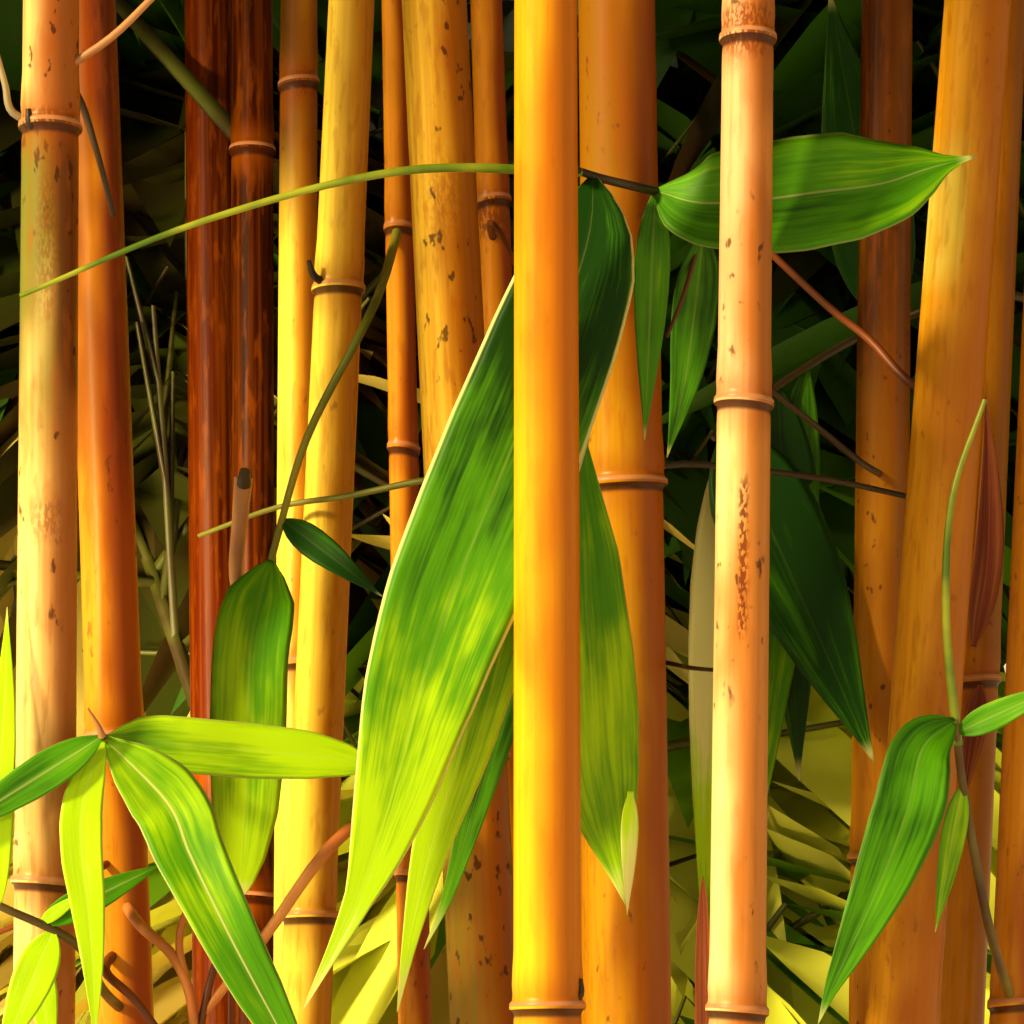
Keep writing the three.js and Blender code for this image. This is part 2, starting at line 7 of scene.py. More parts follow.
import logging
import math
from collections.abc import Callable, Sequence
from dataclasses import dataclass, field, replace
from enum import Enum
from functools import partial

import bpy
import numpy as np
from mathutils import Matrix, Vector, noise


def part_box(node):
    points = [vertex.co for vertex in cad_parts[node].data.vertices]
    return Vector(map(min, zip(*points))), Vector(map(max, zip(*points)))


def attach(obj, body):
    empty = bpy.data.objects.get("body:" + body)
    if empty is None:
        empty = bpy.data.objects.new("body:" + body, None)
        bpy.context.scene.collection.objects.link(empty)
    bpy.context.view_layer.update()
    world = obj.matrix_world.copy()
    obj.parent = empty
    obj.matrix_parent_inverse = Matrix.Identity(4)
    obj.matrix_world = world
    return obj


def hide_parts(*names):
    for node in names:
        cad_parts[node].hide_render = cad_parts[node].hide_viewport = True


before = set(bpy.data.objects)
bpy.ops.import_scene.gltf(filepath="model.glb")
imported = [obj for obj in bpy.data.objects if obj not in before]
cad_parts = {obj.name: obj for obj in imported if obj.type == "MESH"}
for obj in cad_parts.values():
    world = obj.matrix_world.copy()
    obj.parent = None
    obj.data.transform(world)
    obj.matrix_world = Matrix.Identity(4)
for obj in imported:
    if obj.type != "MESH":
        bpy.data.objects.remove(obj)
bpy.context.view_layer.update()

LOG = logging.getLogger("bamboo")
MM = 0.001
METRE = 1000.0
UP = Vector((0, 0, 1))

EYE = 700.0  # height of the middle of the stretch that is seen from close by
FRONT = -115.0  # Y of the foremost cane
SOIL_TOP = 306.0
GROUND = 306.3  # the flat cut under every cane
ARCH_START = 820.0  # height above which canes arch outwards
SPLAY = 0.00018  # share by which a cane stands farther out for each millimetre up
BARE_SHARE = 0.7  # of a cane's height over the soil, below its head of leaves
RING_SHRINK_DOWN = 0.76  # a joint's length as a share of the one above it
RING_SHRINK_UP = 0.93  # the same as a share of the one below it
SHORTEST_JOINT = 60.0
TAPER_SHARE = 0.86  # of a cane's thickness, lost by its tip
TAPER_POWER = 1.5
GOLDEN_TURN = 137.5  # degrees

MATH = "ShaderNodeMath"
MIX = "ShaderNodeMix"
RANGE = "ShaderNodeMapRange"
NOISE = "ShaderNodeTexNoise"
MAPPING = "ShaderNodeMapping"
ATTRIBUTE = "ShaderNodeAttribute"
SPACE = "ShaderNodeTexCoord"
APART = "ShaderNodeSeparateXYZ"
TOGETHER = "ShaderNodeCombineXYZ"
VECTORS = "ShaderNodeVectorMath"
BUMP = "ShaderNodeBump"
NAMED = "GeometryNodeInputNamedAttribute"
INSTANCES = "GeometryNodeInstanceOnPoints"
RANDOM = "FunctionNodeRandomValue"
SMOOTH = {"interpolation_type": "SMOOTHSTEP"}
COLOURS = {"data_type": "RGBA"}

Path = Callable[[float], Vector]
Point = tuple[float, float, float]
Box = tuple[Vector, Vector]
Faces = list[tuple[int, ...]]
Inputs = dict[str | int, object]


class Seeded:
    """The same seeded source of numbers from 0 to 1 that the source's rule draws from."""

    WORD = 0xFFFFFFFF
    STEP = 0x6D2B79F5

    def __init__(self, seed: int) -> None:
        """Starts the row of numbers that belongs to a seed."""
        self.seed = seed
        self.state = seed & self.WORD

    def draw(self) -> float:
        """The next number of the row.

        Returns:
            A number from 0 up to 1.
        """
        self.state = (self.state + self.STEP) & self.WORD
        mixed = ((self.state ^ (self.state >> 15)) * (self.state | 1)) & self.WORD
        mixed ^= (mixed + (mixed ^ (mixed >> 7)) * (mixed | 61)) & self.WORD
        return ((mixed ^ (mixed >> 14)) & self.WORD) / (self.WORD + 1)

    def within(self, low: float, high: float) -> float:
        """A number between two ends."""
        return low + (high - low) * self.draw()

    def scattered(self, width: float) -> float:
        """A number that scatters evenly about zero, over a width."""
        return width * (self.draw() - 0.5)


def linear(colour: str) -> tuple[float, float, float, float]:
    """An sRGB colour as the linear colour that a shader takes.

    Args:
        colour: The colour as #RRGGBB.

    Returns:
        Linear red, green and blue, and an alpha of 1.
    """
    shares = [int(colour[i : i + 2], 16) / 255 for i in (1, 3, 5)]
    red, green, blue = (c / 12.92 if c <= 0.04045 else ((c + 0.055) / 1.055) ** 2.4 for c in shares)
    return red, green, blue, 1.0


def node(
    tree: bpy.types.NodeTree, kind: str, inputs: Inputs | None = None, **settings: object
) -> bpy.types.Node:
    """Adds a node with its settings and links.

    Args:
        tree: The tree that gets the node.
        kind: The node's type name.
        inputs: For each socket's name or number, a value, the socket that feeds it, or a node
            whose first output in use feeds it.
        settings: The node's own properties.

    Returns:
        The new node.
    """
    made = tree.nodes.new(kind)
    for name, value in settings.items():
        setattr(made, name, value)
    for socket, value in (inputs or {}).items():
        if isinstance(value, bpy.types.Node):
            value = next(output for output in value.outputs if output.enabled)
        if isinstance(value, bpy.types.NodeSocket):
            tree.links.new(value, made.inputs[socket])
        else:
            made.inputs[socket].default_value = value
    return made


@dataclass(frozen=True)
class Finish:
    """What all finishes share: one named material round a Principled shader."""

    name: str

    def surface(self, tree: bpy.types.NodeTree) -> Inputs:
        """Values, sockets and nodes of its tree for the shader's sockets."""
        raise NotImplementedError(self.name)

    def layered(
        self, tree: bpy.types.NodeTree, colour: str, *layers: tuple, **easing: str
    ) -> bpy.types.Node:
        """Colours laid over one another, each where what it follows is strong.

        Args:
            tree: The material's tree.
            colour: The lowest colour.
            layers: For each what it follows, where it starts, where it is strongest, how strong
                it is there, and its colour.
            easing: How they come in, where that isn't evenly.

        Returns:
            The node that gives the colour.
        """
        laid = linear(colour)
        for follows, start, full, strength, above in layers:
            share = node(tree, RANGE, {0: follows, 1: start, 2: full, 4: strength}, **easing)
            laid = node(tree, MIX, {0: share, 6: laid, 7: linear(above)}, **COLOURS)
        return laid

    def material(self) -> bpy.types.Material:
        """The finish as a material, made when it is first asked for.

        Returns:
            The material.
        """
        made = bpy.data.materials.get(self.name)
        if made is None:
            made = bpy.data.materials.new(self.name)
            made.use_nodes = True
            tree = made.node_tree
            tree.nodes.clear()
            shader = node(tree, "ShaderNodeBsdfPrincipled", self.surface(tree))
            node(tree, "ShaderNodeOutputMaterial", {"Surface": shader})
        return made


def towards(heading: float, rise: float) -> Vector:
    """A unit vector.

    Args:
        heading: Degrees round from +X.
        rise: Degrees above the level.

    Returns:
        The vector.
    """
    level = math.cos(math.radians(rise))
    turn = math.radians(heading)
    return Vector((math.cos(turn) * level, math.sin(turn) * level, math.sin(math.radians(rise))))


def chorded(path: Path, steps: int) -> Path:
    """A path drawn straight between even stations.

    Args:
        path: The curved path.
        steps: How many straight stretches it gets.

    Returns:
        The path of straight stretches.
    """
    stations = [path(i / steps) for i in range(steps + 1)]

    def along(share: float) -> Vector:
        """The point at a share of the way."""
        i = min(steps - 1, int(share * steps))
        return stations[i].lerp(stations[i + 1], share * steps - i)

    return along


def smooth(points: Sequence[Vector], steps: int) -> list[Vector]:
    """Points on a smooth curve through given ones.

    Args:
        points: The points that the curve passes.
        steps: How many stretches each gap between two of them gets.

    Returns:
        The points of the curve.
    """
    row = [points[0] * 2 - points[1], *points, points[-1] * 2 - points[-2]]
    curve = []
    for before, a, b, after in zip(row, row[1:], row[2:], row[3:]):
        for i in range(steps):
            t = i / steps
            slope_a = (b - before) / 2
            slope_b = (after - a) / 2
            blend = 3 * t**2 - 2 * t**3
            curve.append(
                a * (1 - blend)
                + b * blend
                + slope_a * (t**3 - 2 * t**2 + t)
                + slope_b * (t**3 - t**2)
            )
    return [*curve, points[-1]]


def evenly(points: Sequence[Vector], count: int) -> list[Vector]:
    """Points at even steps along a line.

    Args:
        points: The points of the line.
        count: How many points are wanted.

    Returns:
        The points.
    """
    row = np.array([tuple(point) for point in points])
    gone = np.concatenate([[0], np.cumsum(np.linalg.norm(np.diff(row, axis=0), axis=1))])
    wanted = np.linspace(0, gone[-1], count)
    return [Vector(place) for place in zip(*(np.interp(wanted, gone, row[:, k]) for k in range(3)))]


def lofted(sections: np.ndarray) -> tuple[np.ndarray, Faces]:
    """A closed skin over a row of rings of points.

    Args:
        sections: Rings by points by three, each ring running left about the way ahead.

    Returns:
        The points, with the middles of both end rings last, and the faces.
    """
    rings, around, _ = sections.shape
    points = np.vstack([sections.reshape(-1, 3), sections[0].mean(0), sections[-1].mean(0)])
    first, last = rings * around, rings * around + 1
    faces: Faces = []
    for i in range(rings - 1):
        for j in range(around):
            k = (j + 1) % around
            faces.append((i * around + j, i * around + k, (i + 1) * around + k, (i + 1) * around + j))
    end = (rings - 1) * around
    for j in range(around):
        k = (j + 1) % around
        faces.append((first, k, j))
        faces.append((last, end + j, end + k))
    return points, faces


def placed(name: str, data: bpy.types.ID) -> bpy.types.Object:
    """Puts an object in the scene.

    Args:
        name: Its name.
        data: Its mesh, curve, light or camera.

    Returns:
        The object, at the origin.
    """
    made = bpy.data.objects.new(name, data)
    bpy.context.scene.collection.objects.link(made)
    return made


class Piece:
    """A mesh that is put together in millimetres and becomes one named object."""

    def __init__(self, name: str) -> None:
        """Starts with no points.

        Args:
            name: The object's name.
        """
        self.name = name
        self.points: list[np.ndarray] = []
        self.faces: Faces = []
        self.marks: dict[str, list[np.ndarray]] = {}
        self.count = 0

    def add(self, points: np.ndarray, faces: Faces, **marks: np.ndarray) -> None:
        """Adds a closed body.

        Args:
            points: Its points.
            faces: Its faces, as rows of point numbers.
            marks: Values for each point that the finish reads, one row of one or three numbers.
        """
        self.faces += [tuple(i + self.count for i in face) for face in faces]
        self.points.append(points)
        self.count += len(points)
        for name, values in marks.items():
            self.marks.setdefault(name, []).append(values)

    def mesh(self, material: bpy.types.Material) -> bpy.types.Mesh:
        """The finished mesh.

        Args:
            material: Its finish.

        Returns:
            The mesh, with its place in it.
        """
        mesh = bpy.data.meshes.new(self.name)
        mesh.from_pydata(np.vstack(self.points) * MM, [], self.faces)
        for name, rows in self.marks.items():
            values = np.concatenate(rows).astype(np.float32)
            kind, key = ("FLOAT", "value") if values.ndim == 1 else ("FLOAT_VECTOR", "vector")
            mesh.attributes.new(name, kind, "POINT").data.foreach_set(key, values.ravel())
        mesh.shade_smooth()
        mesh.materials.append(material)
        return mesh

    def made(self, material: bpy.types.Material) -> bpy.types.Object:
        """The finished object, at the origin."""
        return placed(self.name, self.mesh(material))


def grown(name: str, seed: bpy.types.ID, tree: bpy.types.NodeTree, inputs: dict) -> bpy.types.Object:
    """What a Geometry Nodes tree makes of a mesh or curve, as a plain mesh.

    Args:
        name: The name of the new object.
        seed: The mesh or curve that the tree starts from.
        tree: The tree.
        inputs: Values for the tree's named inputs.

    Returns:
        The new object.
    """
    seedling = placed(seed.name, seed)
    modifier = seedling.modifiers.new("growth", "NODES")
    modifier.node_group = tree
    for item in tree.interface.items_tree:
        if item.item_type == "SOCKET" and item.in_out == "INPUT" and item.name in inputs:
            modifier[item.identifier] = inputs[item.name]
    graph = bpy.context.evaluated_depsgraph_get()
    mesh = bpy.data.meshes.new_from_object(seedling.evaluated_get(graph), depsgraph=graph)
    bpy.data.objects.remove(seedling)
    mesh.name = name
    return placed(name, mesh)


def growth_tree(name: str, values: dict[str, float]) -> tuple[bpy.types.NodeTree, bpy.types.Node]:
    """A new Geometry Nodes tree that takes a geometry, some named values and a material.

    Args:
        name: The tree's name.
        values: The named values, each of the kind of number that its input takes.

    Returns:
        The tree and the node that gives its inputs.
    """
    tree = bpy.data.node_groups.new(name, "GeometryNodeTree")
    kinds = {"Geometry": "Geometry"}
    kinds |= {key: "Int" if isinstance(value, int) else "Float" for key, value in values.items()}
    kinds |= {"Material": "Material"}
    tree.interface.new_socket("Geometry", in_out="OUTPUT", socket_type="NodeSocketGeometry")
    for socket, kind in kinds.items():
        tree.interface.new_socket(socket, in_out="INPUT", socket_type="NodeSocket" + kind)
    return tree, node(tree, "NodeGroupInput")


def finish_tree(tree: bpy.types.NodeTree, geometry: bpy.types.Node, given: bpy.types.Node) -> None:
    """Ends a tree with its instances made real and its finish set.

    Args:
        tree: The tree.
        geometry: The node that gives what it has made so far.
        given: The node that gives its inputs, Material among them.
    """
    real = node(tree, "GeometryNodeRealizeInstances", {"Geometry": geometry})
    finish = {"Geometry": real, "Material": given.outputs["Material"]}
    dressed = node(tree, "GeometryNodeSetMaterial", finish)
    node(tree, "NodeGroupOutput", {0: node(tree, "GeometryNodeSetShadeSmooth", {"Geometry": dressed})})


def settle(piece: bpy.types.Object, slot: str, *nodes: str) -> None:
    """Puts a piece on the plant's body and reports it.

    Args:
        piece: The finished object.
        slot: The name of a material slot; not used.
        nodes: The CAD nodes that it stands for.
    """
    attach(piece, "root")
    if nodes:
        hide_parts(*nodes)
    LOG.info("%s: %d faces, stands for %d nodes", piece.name, len(piece.data.polygons), len(nodes))


# Outlines of leaves: shares of the length, and of the greatest width there.
PLAIN_OUTLINE = (
    (0.0, 0.04), (0.03, 0.3), (0.07, 0.52), (0.13, 0.76), (0.2, 0.92), (0.3, 1.0),
    (0.42, 0.96), (0.55, 0.82), (0.7, 0.58), (0.82, 0.35), (0.92, 0.15), (1.0, 0.01),
)
LATE_OUTLINE = (
    (0.0, 0.04), (0.2, 0.08), (0.37, 0.2), (0.52, 0.8), (0.65, 0.98), (0.75, 1.0), (0.82, 0.9),
    (0.89, 0.62), (0.95, 0.25), (1.0, 0.02),
)
BROAD_OUTLINE = (
    (0.0, 0.04), (0.04, 0.3), (0.1, 0.6), (0.17, 0.8), (0.3, 0.96), (0.45, 1.0), (0.6, 0.95),
    (0.75, 0.68), (0.84, 0.42), (0.9, 0.18), (0.95, 0.07), (1.0, 0.02),
)
FRONT_OUTLINE = (
    (0.0, 0.04), (0.03, 0.35), (0.07, 0.62), (0.12, 0.83), (0.2, 0.93), (0.33, 1.0), (0.42, 0.99),
    (0.52, 0.95), (0.63, 0.81), (0.74, 0.58), (0.8, 0.42), (0.86, 0.22), (0.92, 0.11), (1.0, 0.01),
)
LONG_OUTLINE = (
    (0.0, 0.04), (0.04, 0.35), (0.1, 0.72), (0.18, 0.97), (0.28, 1.0), (0.42, 0.88), (0.56, 0.78),
    (0.72, 0.64), (0.84, 0.45), (0.93, 0.2), (1.0, 0.01),
)
BLUNT_OUTLINE = (
    (0.0, 0.08), (0.05, 0.5), (0.12, 0.9), (0.2, 1.0), (0.55, 1.0), (0.75, 0.86), (0.88, 0.6),
    (0.96, 0.3), (1.0, 0.03),
)


@dataclass(frozen=True)
class CulmFinish(Finish):
    """Living bamboo culm: a hard, waxy, silica-rich rind over straight fibres, golden, with painted
    shade: a deeper colour on the side away from the light. The wax gives a soft gloss, the fibres fine
    streaks along the joint, and ageing brings blotches and small dark specks."""

    rind: str  # the colour of the side that faces the light
    painted_shade: str  # painted shade: the deeper colour of the side away from the light
    painted_light_and_aged: str  # the colour of joints that have grown older or never turned gold; where a cane's table lays it over its upper joints it is painted shade, and on the sunlit look it is a painted patch of sunlight
    specks: float = 0.25  # share of the rind that is specked where it is specked most
    streaks: float = 0.3  # how strongly the fibres show
    blotch: str = "#A25000"
    ledge: str = "#C98A62"
    # The scar colour also paints shade on the side of older joints away from the light.
    scar: str = "#3A1808"
    wound: str = "#6E2E0C"
    fibre: float = 1.1  # mm from streak to streak: real fibres are finer and wouldn't show
    streak_length: float = 60.0
    speck_size: float = 2.2
    blotch_size: float = 16.0
    mottle_size: float = 1.7
    mottling: float = 0.3  # how strongly its small stains show
    age_and_light_reach: float = 2.0  # how far round from the lit side the colour for older joints, and the painted light it carries, reaches
    aged_even: float = 0.0  # how much less the painted shade of the far side shows where the colour for older joints lies
    aged_shade: float = 0.5  # painted shade: how much darker an older joint is on the side away from the light
    turning: tuple[float, float] = (0.54, 1.24)  # where the painted shade of the far side starts and is full
    roughness: float = 0.36
    gloss: float = 0.22

    def surface(self, tree: bpy.types.NodeTree) -> Inputs:
        """What the shader gets, from the marks that a culm's points carry.

        Args:
            tree: The material's tree.

        Returns:
            Values, sockets and nodes for the shader's sockets.
        """
        straight = node(tree, ATTRIBUTE, attribute_name="culm").outputs["Vector"]
        side = node(tree, ATTRIBUTE, attribute_name="shade").outputs["Fac"]
        age = node(tree, ATTRIBUTE, attribute_name="age").outputs["Fac"]
        marks = node(tree, ATTRIBUTE, attribute_name="ring").outputs["Vector"]
        under, past, scarred = node(tree, APART, {0: marks}).outputs
        grains = (  # size across and along, and how finely it is broken up
            (self.fibre, self.streak_length, 2.0),
            (self.blotch_size, self.blotch_size * 2.6, 2.0),
            (self.speck_size, self.speck_size * 1.8, 2.0),
            (self.fibre * 0.5, self.speck_size * 0.6, 1.0),
            (self.mottle_size, self.mottle_size * 5, 2.0),
        )
        clouds = []
        for across, along, detail in grains:
            spot = node(tree, MAPPING, {0: straight, 3: (1 / across, 1 / across, 1 / along)})
            clouds.append(node(tree, NOISE, {"Vector": spot, "Scale": 1.0, "Detail": detail}))
        streak, blotches, specks, scratches, mottle = clouds
        reach = node(tree, RANGE, {0: side, 1: self.age_and_light_reach, 2: self.age_and_light_reach - 0.3}, **SMOOTH)
        patch = node(tree, RANGE, {0: blotches, 1: 0.15, 2: 0.5}, **SMOOTH)
        few = node(tree, RANGE, {0: blotches, 1: 0.44, 2: 0.58, 4: self.specks * 3}, **SMOOTH)
        spots = node(tree, RANGE, {0: specks, 1: 0.61, 2: 0.75}, **SMOOTH)
        deep = node(tree, RANGE, {0: scratches, 1: 0.42, 2: 0.52}, **SMOOTH)
        rubbed = node(tree, RANGE, {0: mottle, 1: 0.4, 2: 0.6}, **SMOOTH)
        painted_light_and_aged = node(tree, MATH, {0: age, 1: reach}, operation="MULTIPLY")
        painted_light_and_old, spots, deep, rubbed = (
            node(tree, MATH, {0: pattern, 1: where}, operation="MULTIPLY")
            for pattern, where in ((painted_light_and_aged, patch), (spots, few), (deep, scarred), (rubbed, scarred))
        )
        shaded = node(tree, MATH, {0: painted_light_and_old, 1: side}, operation="MULTIPLY")
        painted_shade_share = node(tree, MATH, {0: side, 1: blotches}, operation="ADD")
        painted_shade_share = node(tree, MATH, {0: painted_light_and_old, 1: -self.aged_even, 2: painted_shade_share}, operation="MULTIPLY_ADD")
        near = node(tree, MATH, {0: under, 1: past}, operation="MINIMUM")
        # Painted shade: the far-side layer deepens the side away from the light, and the layer after it
        # darkens that side further on older joints. The layer for older joints also lays painted shade
        # over the upper joints of some canes and a painted patch of sunlight on one.
        layers = (
            (blotches, 0.56, 0.72, 0.4, self.blotch),
            (painted_light_and_old, 0.0, 1.0, 1.0, self.painted_light_and_aged),
            (painted_shade_share, *self.turning, 0.9, self.painted_shade),
            (shaded, 0.25, 0.85, self.aged_shade, self.scar),
            (mottle, 0.52, 0.68, self.mottling, self.blotch),
            (streak, 0.35, 0.72, self.streaks, self.blotch),
            (rubbed, 0.0, 1.0, 0.3, self.wound),
            (deep, 0.0, 0.8, 0.85, self.wound),
            (spots, 0.0, 0.8, 0.8, self.scar),
            (near, 9.0, 1.0, 0.5, self.blotch),
            (past, 1.7, 1.2, 0.85, self.ledge),
            (under, 1.9, 1.1, 0.9, self.scar),
        )
        fine = {0: streak, 1: 0.2, 2: 0.8, 3: self.roughness + 0.08, 4: self.roughness - 0.05}
        worn = {0: spots, 1: 0.3, 2: node(tree, RANGE, fine)}
        return {
            "Base Color": self.layered(tree, self.rind, *layers, **SMOOTH),
            "Roughness": node(tree, MATH, worn, operation="MULTIPLY_ADD"),
            "Normal": node(tree, BUMP, {"Strength": 0.25, "Distance": 0.1 * MM, "Height": streak}),
            "Specular IOR Level": self.gloss,
            "Coat Weight": self.gloss / 5,
            "Coat Roughness": 0.3,
        }


class CulmLook(Enum):
    """The finishes that the clump's canes come in."""

    GOLD = CulmFinish(
        "waxed_gold_culm", "#FFC81C", "#BE6200", "#B06004", 0.05, 0.16, mottling=0.12,
        turning=(0.48, 1.16),
    )
    PALE = CulmFinish(
        "pale_gold_culm", "#FFEEB0", "#CC7000", "#F0C498", 0.30, 0.22, mottling=0.16, aged_even=0.2,
        aged_shade=0.35, turning=(0.38, 0.95),
    )
    AMBER = CulmFinish("amber_culm", "#CC9408", "#A04600", "#7C5204", 0.20, 0.28, turning=(0.6, 1.3))
    # Painted light: on this look the colour for older joints is a pale yellow patch of sunlight, painted
    # on the lit side only.
    SUNLIT = CulmFinish(
        "sunlit_culm", "#F0AC1E", "#AE5C04", "#FFF068", 0.12, 0.24, age_and_light_reach=0.55, aged_shade=0
    )
    SPOTTED = CulmFinish(
        "spotted_culm", "#FFCC38", "#B06000", "#7A6C14", 0.55, 0.36, mottling=0.4, turning=(0.66, 1.3)
    )
    OLIVE = CulmFinish(
        "olive_culm", "#FFD88C", "#9C4800", "#747A2C", 0.60, 0.24, mottling=0.34, aged_even=0.14,
        aged_shade=0.7,
    )
    ORANGE = CulmFinish(
        "orange_culm", "#F0A020", "#943000", "#7E4200", 0.18, 0.26, turning=(0.7, 1.2), aged_shade=0.75
    )
    # Painted light: a lighter rind, as if in sun, for canes that other canes shade; its dark colour for
    # older joints paints shade over the top of cane 9.
    BRIGHT = CulmFinish("bright_gold_culm", "#FFE050", "#C27A0C", "#5E3A04", 0.14, 0.24)
    RUSSET = CulmFinish("russet_culm", "#5C1C00", "#340A00", "#280800", 0.15, 0.30, gloss=0.06)
    UMBER = CulmFinish("umber_culm", "#DC960A", "#8A4C00", "#3E1A00", 0.30, 0.30)


@dataclass(frozen=True)
class Scar:
    """A stretch of a cane that is scratched or corky."""

    low: float
    high: float
    turn: float = 268.0  # degrees from +X, the side that it is on
    width: float = 0.17  # radians, half of it
    fade: float = 4.0
    depth: float = 1.0  # how much of the rind is gone there


@dataclass(frozen=True)
class Cane:
    """One cane, by the sizes that its line, its taper and its rings follow from."""

    x: float
    depth: float  # behind the foremost cane
    lean: float  # to +X for each millimetre up
    width: float  # at eye height
    tip: float
    ring: float  # height of one node ring
    joint: float  # length of the joint above it
    arch: float
    look: CulmLook
    above: float | None = None  # the joint above the ring where it is out of step
    age: tuple[tuple[float, float], ...] = ((0, 0.2),)  # heights and how strongly the colour for older joints shows there: the rind's own ageing on most canes, painted shade over the upper joints of some, painted sunlight on one
    scars: tuple[Scar, ...] = ()
    sides: int = 24

    @property
    def y(self) -> float:
        """Where it stands at eye height, from front to back."""
        return FRONT + self.depth

    @property
    def top(self) -> float:
        """Where its head of leaves begins."""
        return SOIL_TOP + BARE_SHARE * (self.tip - SOIL_TOP)

    def share_up(self, height: float) -> float:
        """How far up it a height is, from 0 at the soil to 1 at its tip."""
        return min(1.0, max(0.0, (height - SOIL_TOP) / (self.tip - SOIL_TOP)))

    def at(self, height: float) -> Vector:
        """The middle of the cane.

        Args:
            height: The height at which it is wanted.

        Returns:
            The place.
        """
        rise = height - EYE
        bend = max(0.0, (height - ARCH_START) / (self.tip - ARCH_START)) ** 2 * self.arch
        away = math.hypot(self.x, self.y)
        across = self.x + self.lean * rise + bend * self.x / away
        back = self.y + SPLAY * self.y * rise + bend * self.y / away
        return Vector((across, back, height))

    def radius(self, height: float) -> float:
        """Its radius between its rings.

        Args:
            height: The height at which it is wanted.

        Returns:
            The radius.
        """
        here = 1 - TAPER_SHARE * self.share_up(height) ** TAPER_POWER
        at_eye = 1 - TAPER_SHARE * self.share_up(EYE) ** TAPER_POWER
        return self.width / 2 * here / at_eye

    def rings(self) -> list[float]:
        """Where its node rings are.

        Returns:
            Their heights, from the soil up.
        """
        heights = [self.ring]
        up = self.joint
        at = self.ring + (self.above or self.joint)
        while at < self.tip:
            heights.append(at)
            up = max(SHORTEST_JOINT, up * RING_SHRINK_UP)
            at += up
        down = self.joint * RING_SHRINK_DOWN
        at = self.ring - down
        while at > SOIL_TOP + SHORTEST_JOINT:
            heights.insert(0, at)
            down = max(SHORTEST_JOINT, down * RING_SHRINK_DOWN)
            at -= down
        return heights


# The ageing tables below paint shade over the upper joints of canes 1, 3, 6, 9 and 14 and a patch of
# sunlight on the lit side of cane 13; on the other canes they give the rind's own colour with ageing.
CANES = (
    Cane(
        6.4, 0, -0.002, 12.0, 1840, 608, 206, 200, CulmLook.GOLD,
        age=((600, 0), (640, 0.1), (730, 0.4)), sides=48,
    ),
    Cane(
        43.2, 10, 0.01, 10.2, 1660, 720, 150, 210, CulmLook.PALE,
        above=68, age=((717, 0), (719, 1), (900, 1)),
        scars=(Scar(675, 708), Scar(783, 796, 262, 1.6, 3, 0.7), Scar(779, 784, 240, 0.5, 2)), sides=48,
    ),
    Cane(
        21.9, 45, -0.0137, 16.0, 2010, 705, 188, 120, CulmLook.AMBER,
        age=((705, 0.1), (740, 0.6), (790, 0.75)), sides=48,
    ),
    Cane(
        -10.6, 70, -0.05, 14.0, 1930, 650, 200, 110, CulmLook.SPOTTED,
        age=((600, 0.9), (690, 0.3), (780, 0.3), (830, 0.5)),
        scars=(Scar(746, 780, 268, 0.7, 16, 0.35),), sides=40,
    ),
    Cane(
        -88.8, 25, 0.009, 11.2, 1720, 773, 190, 260, CulmLook.OLIVE,
        age=((690, 0), (735, 1), (772, 1), (774, 0)),
        scars=(
            Scar(770, 777, 268, 1.8, 2, 0.8), Scar(731, 771, 272, 0.5, 12, 0.4),
            Scar(693, 704, 276, 0.7, 3, 0.4),
        ),
        sides=40,
    ),
    Cane(
        -80.1, 50, -0.033, 10.9, 1600, 655, 156, 220, CulmLook.ORANGE,
        age=((680, 0), (715, 0.75), (760, 1)), sides=32,
    ),
    Cane(-69.7, 190, -0.012, 12.3, 1880, 640, 188, 230, CulmLook.RUSSET),
    Cane(-59.3, 165, 0.0, 10.2, 1560, 612, 170, 260, CulmLook.RUSSET, age=((0, 0.9),)),
    Cane(
        -46.5, 120, 0.004, 8.9, 1460, 792, 165, 200, CulmLook.BRIGHT, age=((745, 0), (785, 1)),
        scars=(Scar(788, 796, 268, 1.8, 2, 0.7),), sides=28,
    ),
    Cane(-38.3, 90, 0.046, 10.4, 1690, 746, 172, 60, CulmLook.BRIGHT, age=((0, 0),), sides=32),
    Cane(-22.9, 110, -0.02, 6.4, 1240, 713, 120, 130, CulmLook.ORANGE, above=47),
    Cane(
        -1.9, 100, -0.033, 7.4, 1350, 765, 122, 120, CulmLook.ORANGE,
        scars=(Scar(757, 768, 262, 1.2, 3),),
    ),
    Cane(
        85.8, 60, 0.073, 13.8, 1960, 590, 225, 200, CulmLook.SUNLIT,
        age=((742, 0), (750, 1), (767, 1), (778, 0)), sides=40,
    ),
    Cane(81.0, 130, 0.01, 11.8, 1800, 768, 190, 240, CulmLook.UMBER, age=((690, 0), (745, 1)), sides=28),
    Cane(98.6, 95, 0.045, 9.9, 1500, 664, 160, 230, CulmLook.UMBER, sides=28),
    Cane(106.9, 75, 0.043, 9.0, 1420, 599, 215, 260, CulmLook.ORANGE, sides=28),
    Cane(-128, 125, -0.03, 10.4, 1540, 640, 172, 230, CulmLook.UMBER),
    Cane(132, 165, 0.03, 10.8, 1620, 660, 176, 230, CulmLook.UMBER),
    Cane(22, 212, 0.0, 11.6, 1770, 630, 184, 240, CulmLook.UMBER),
)


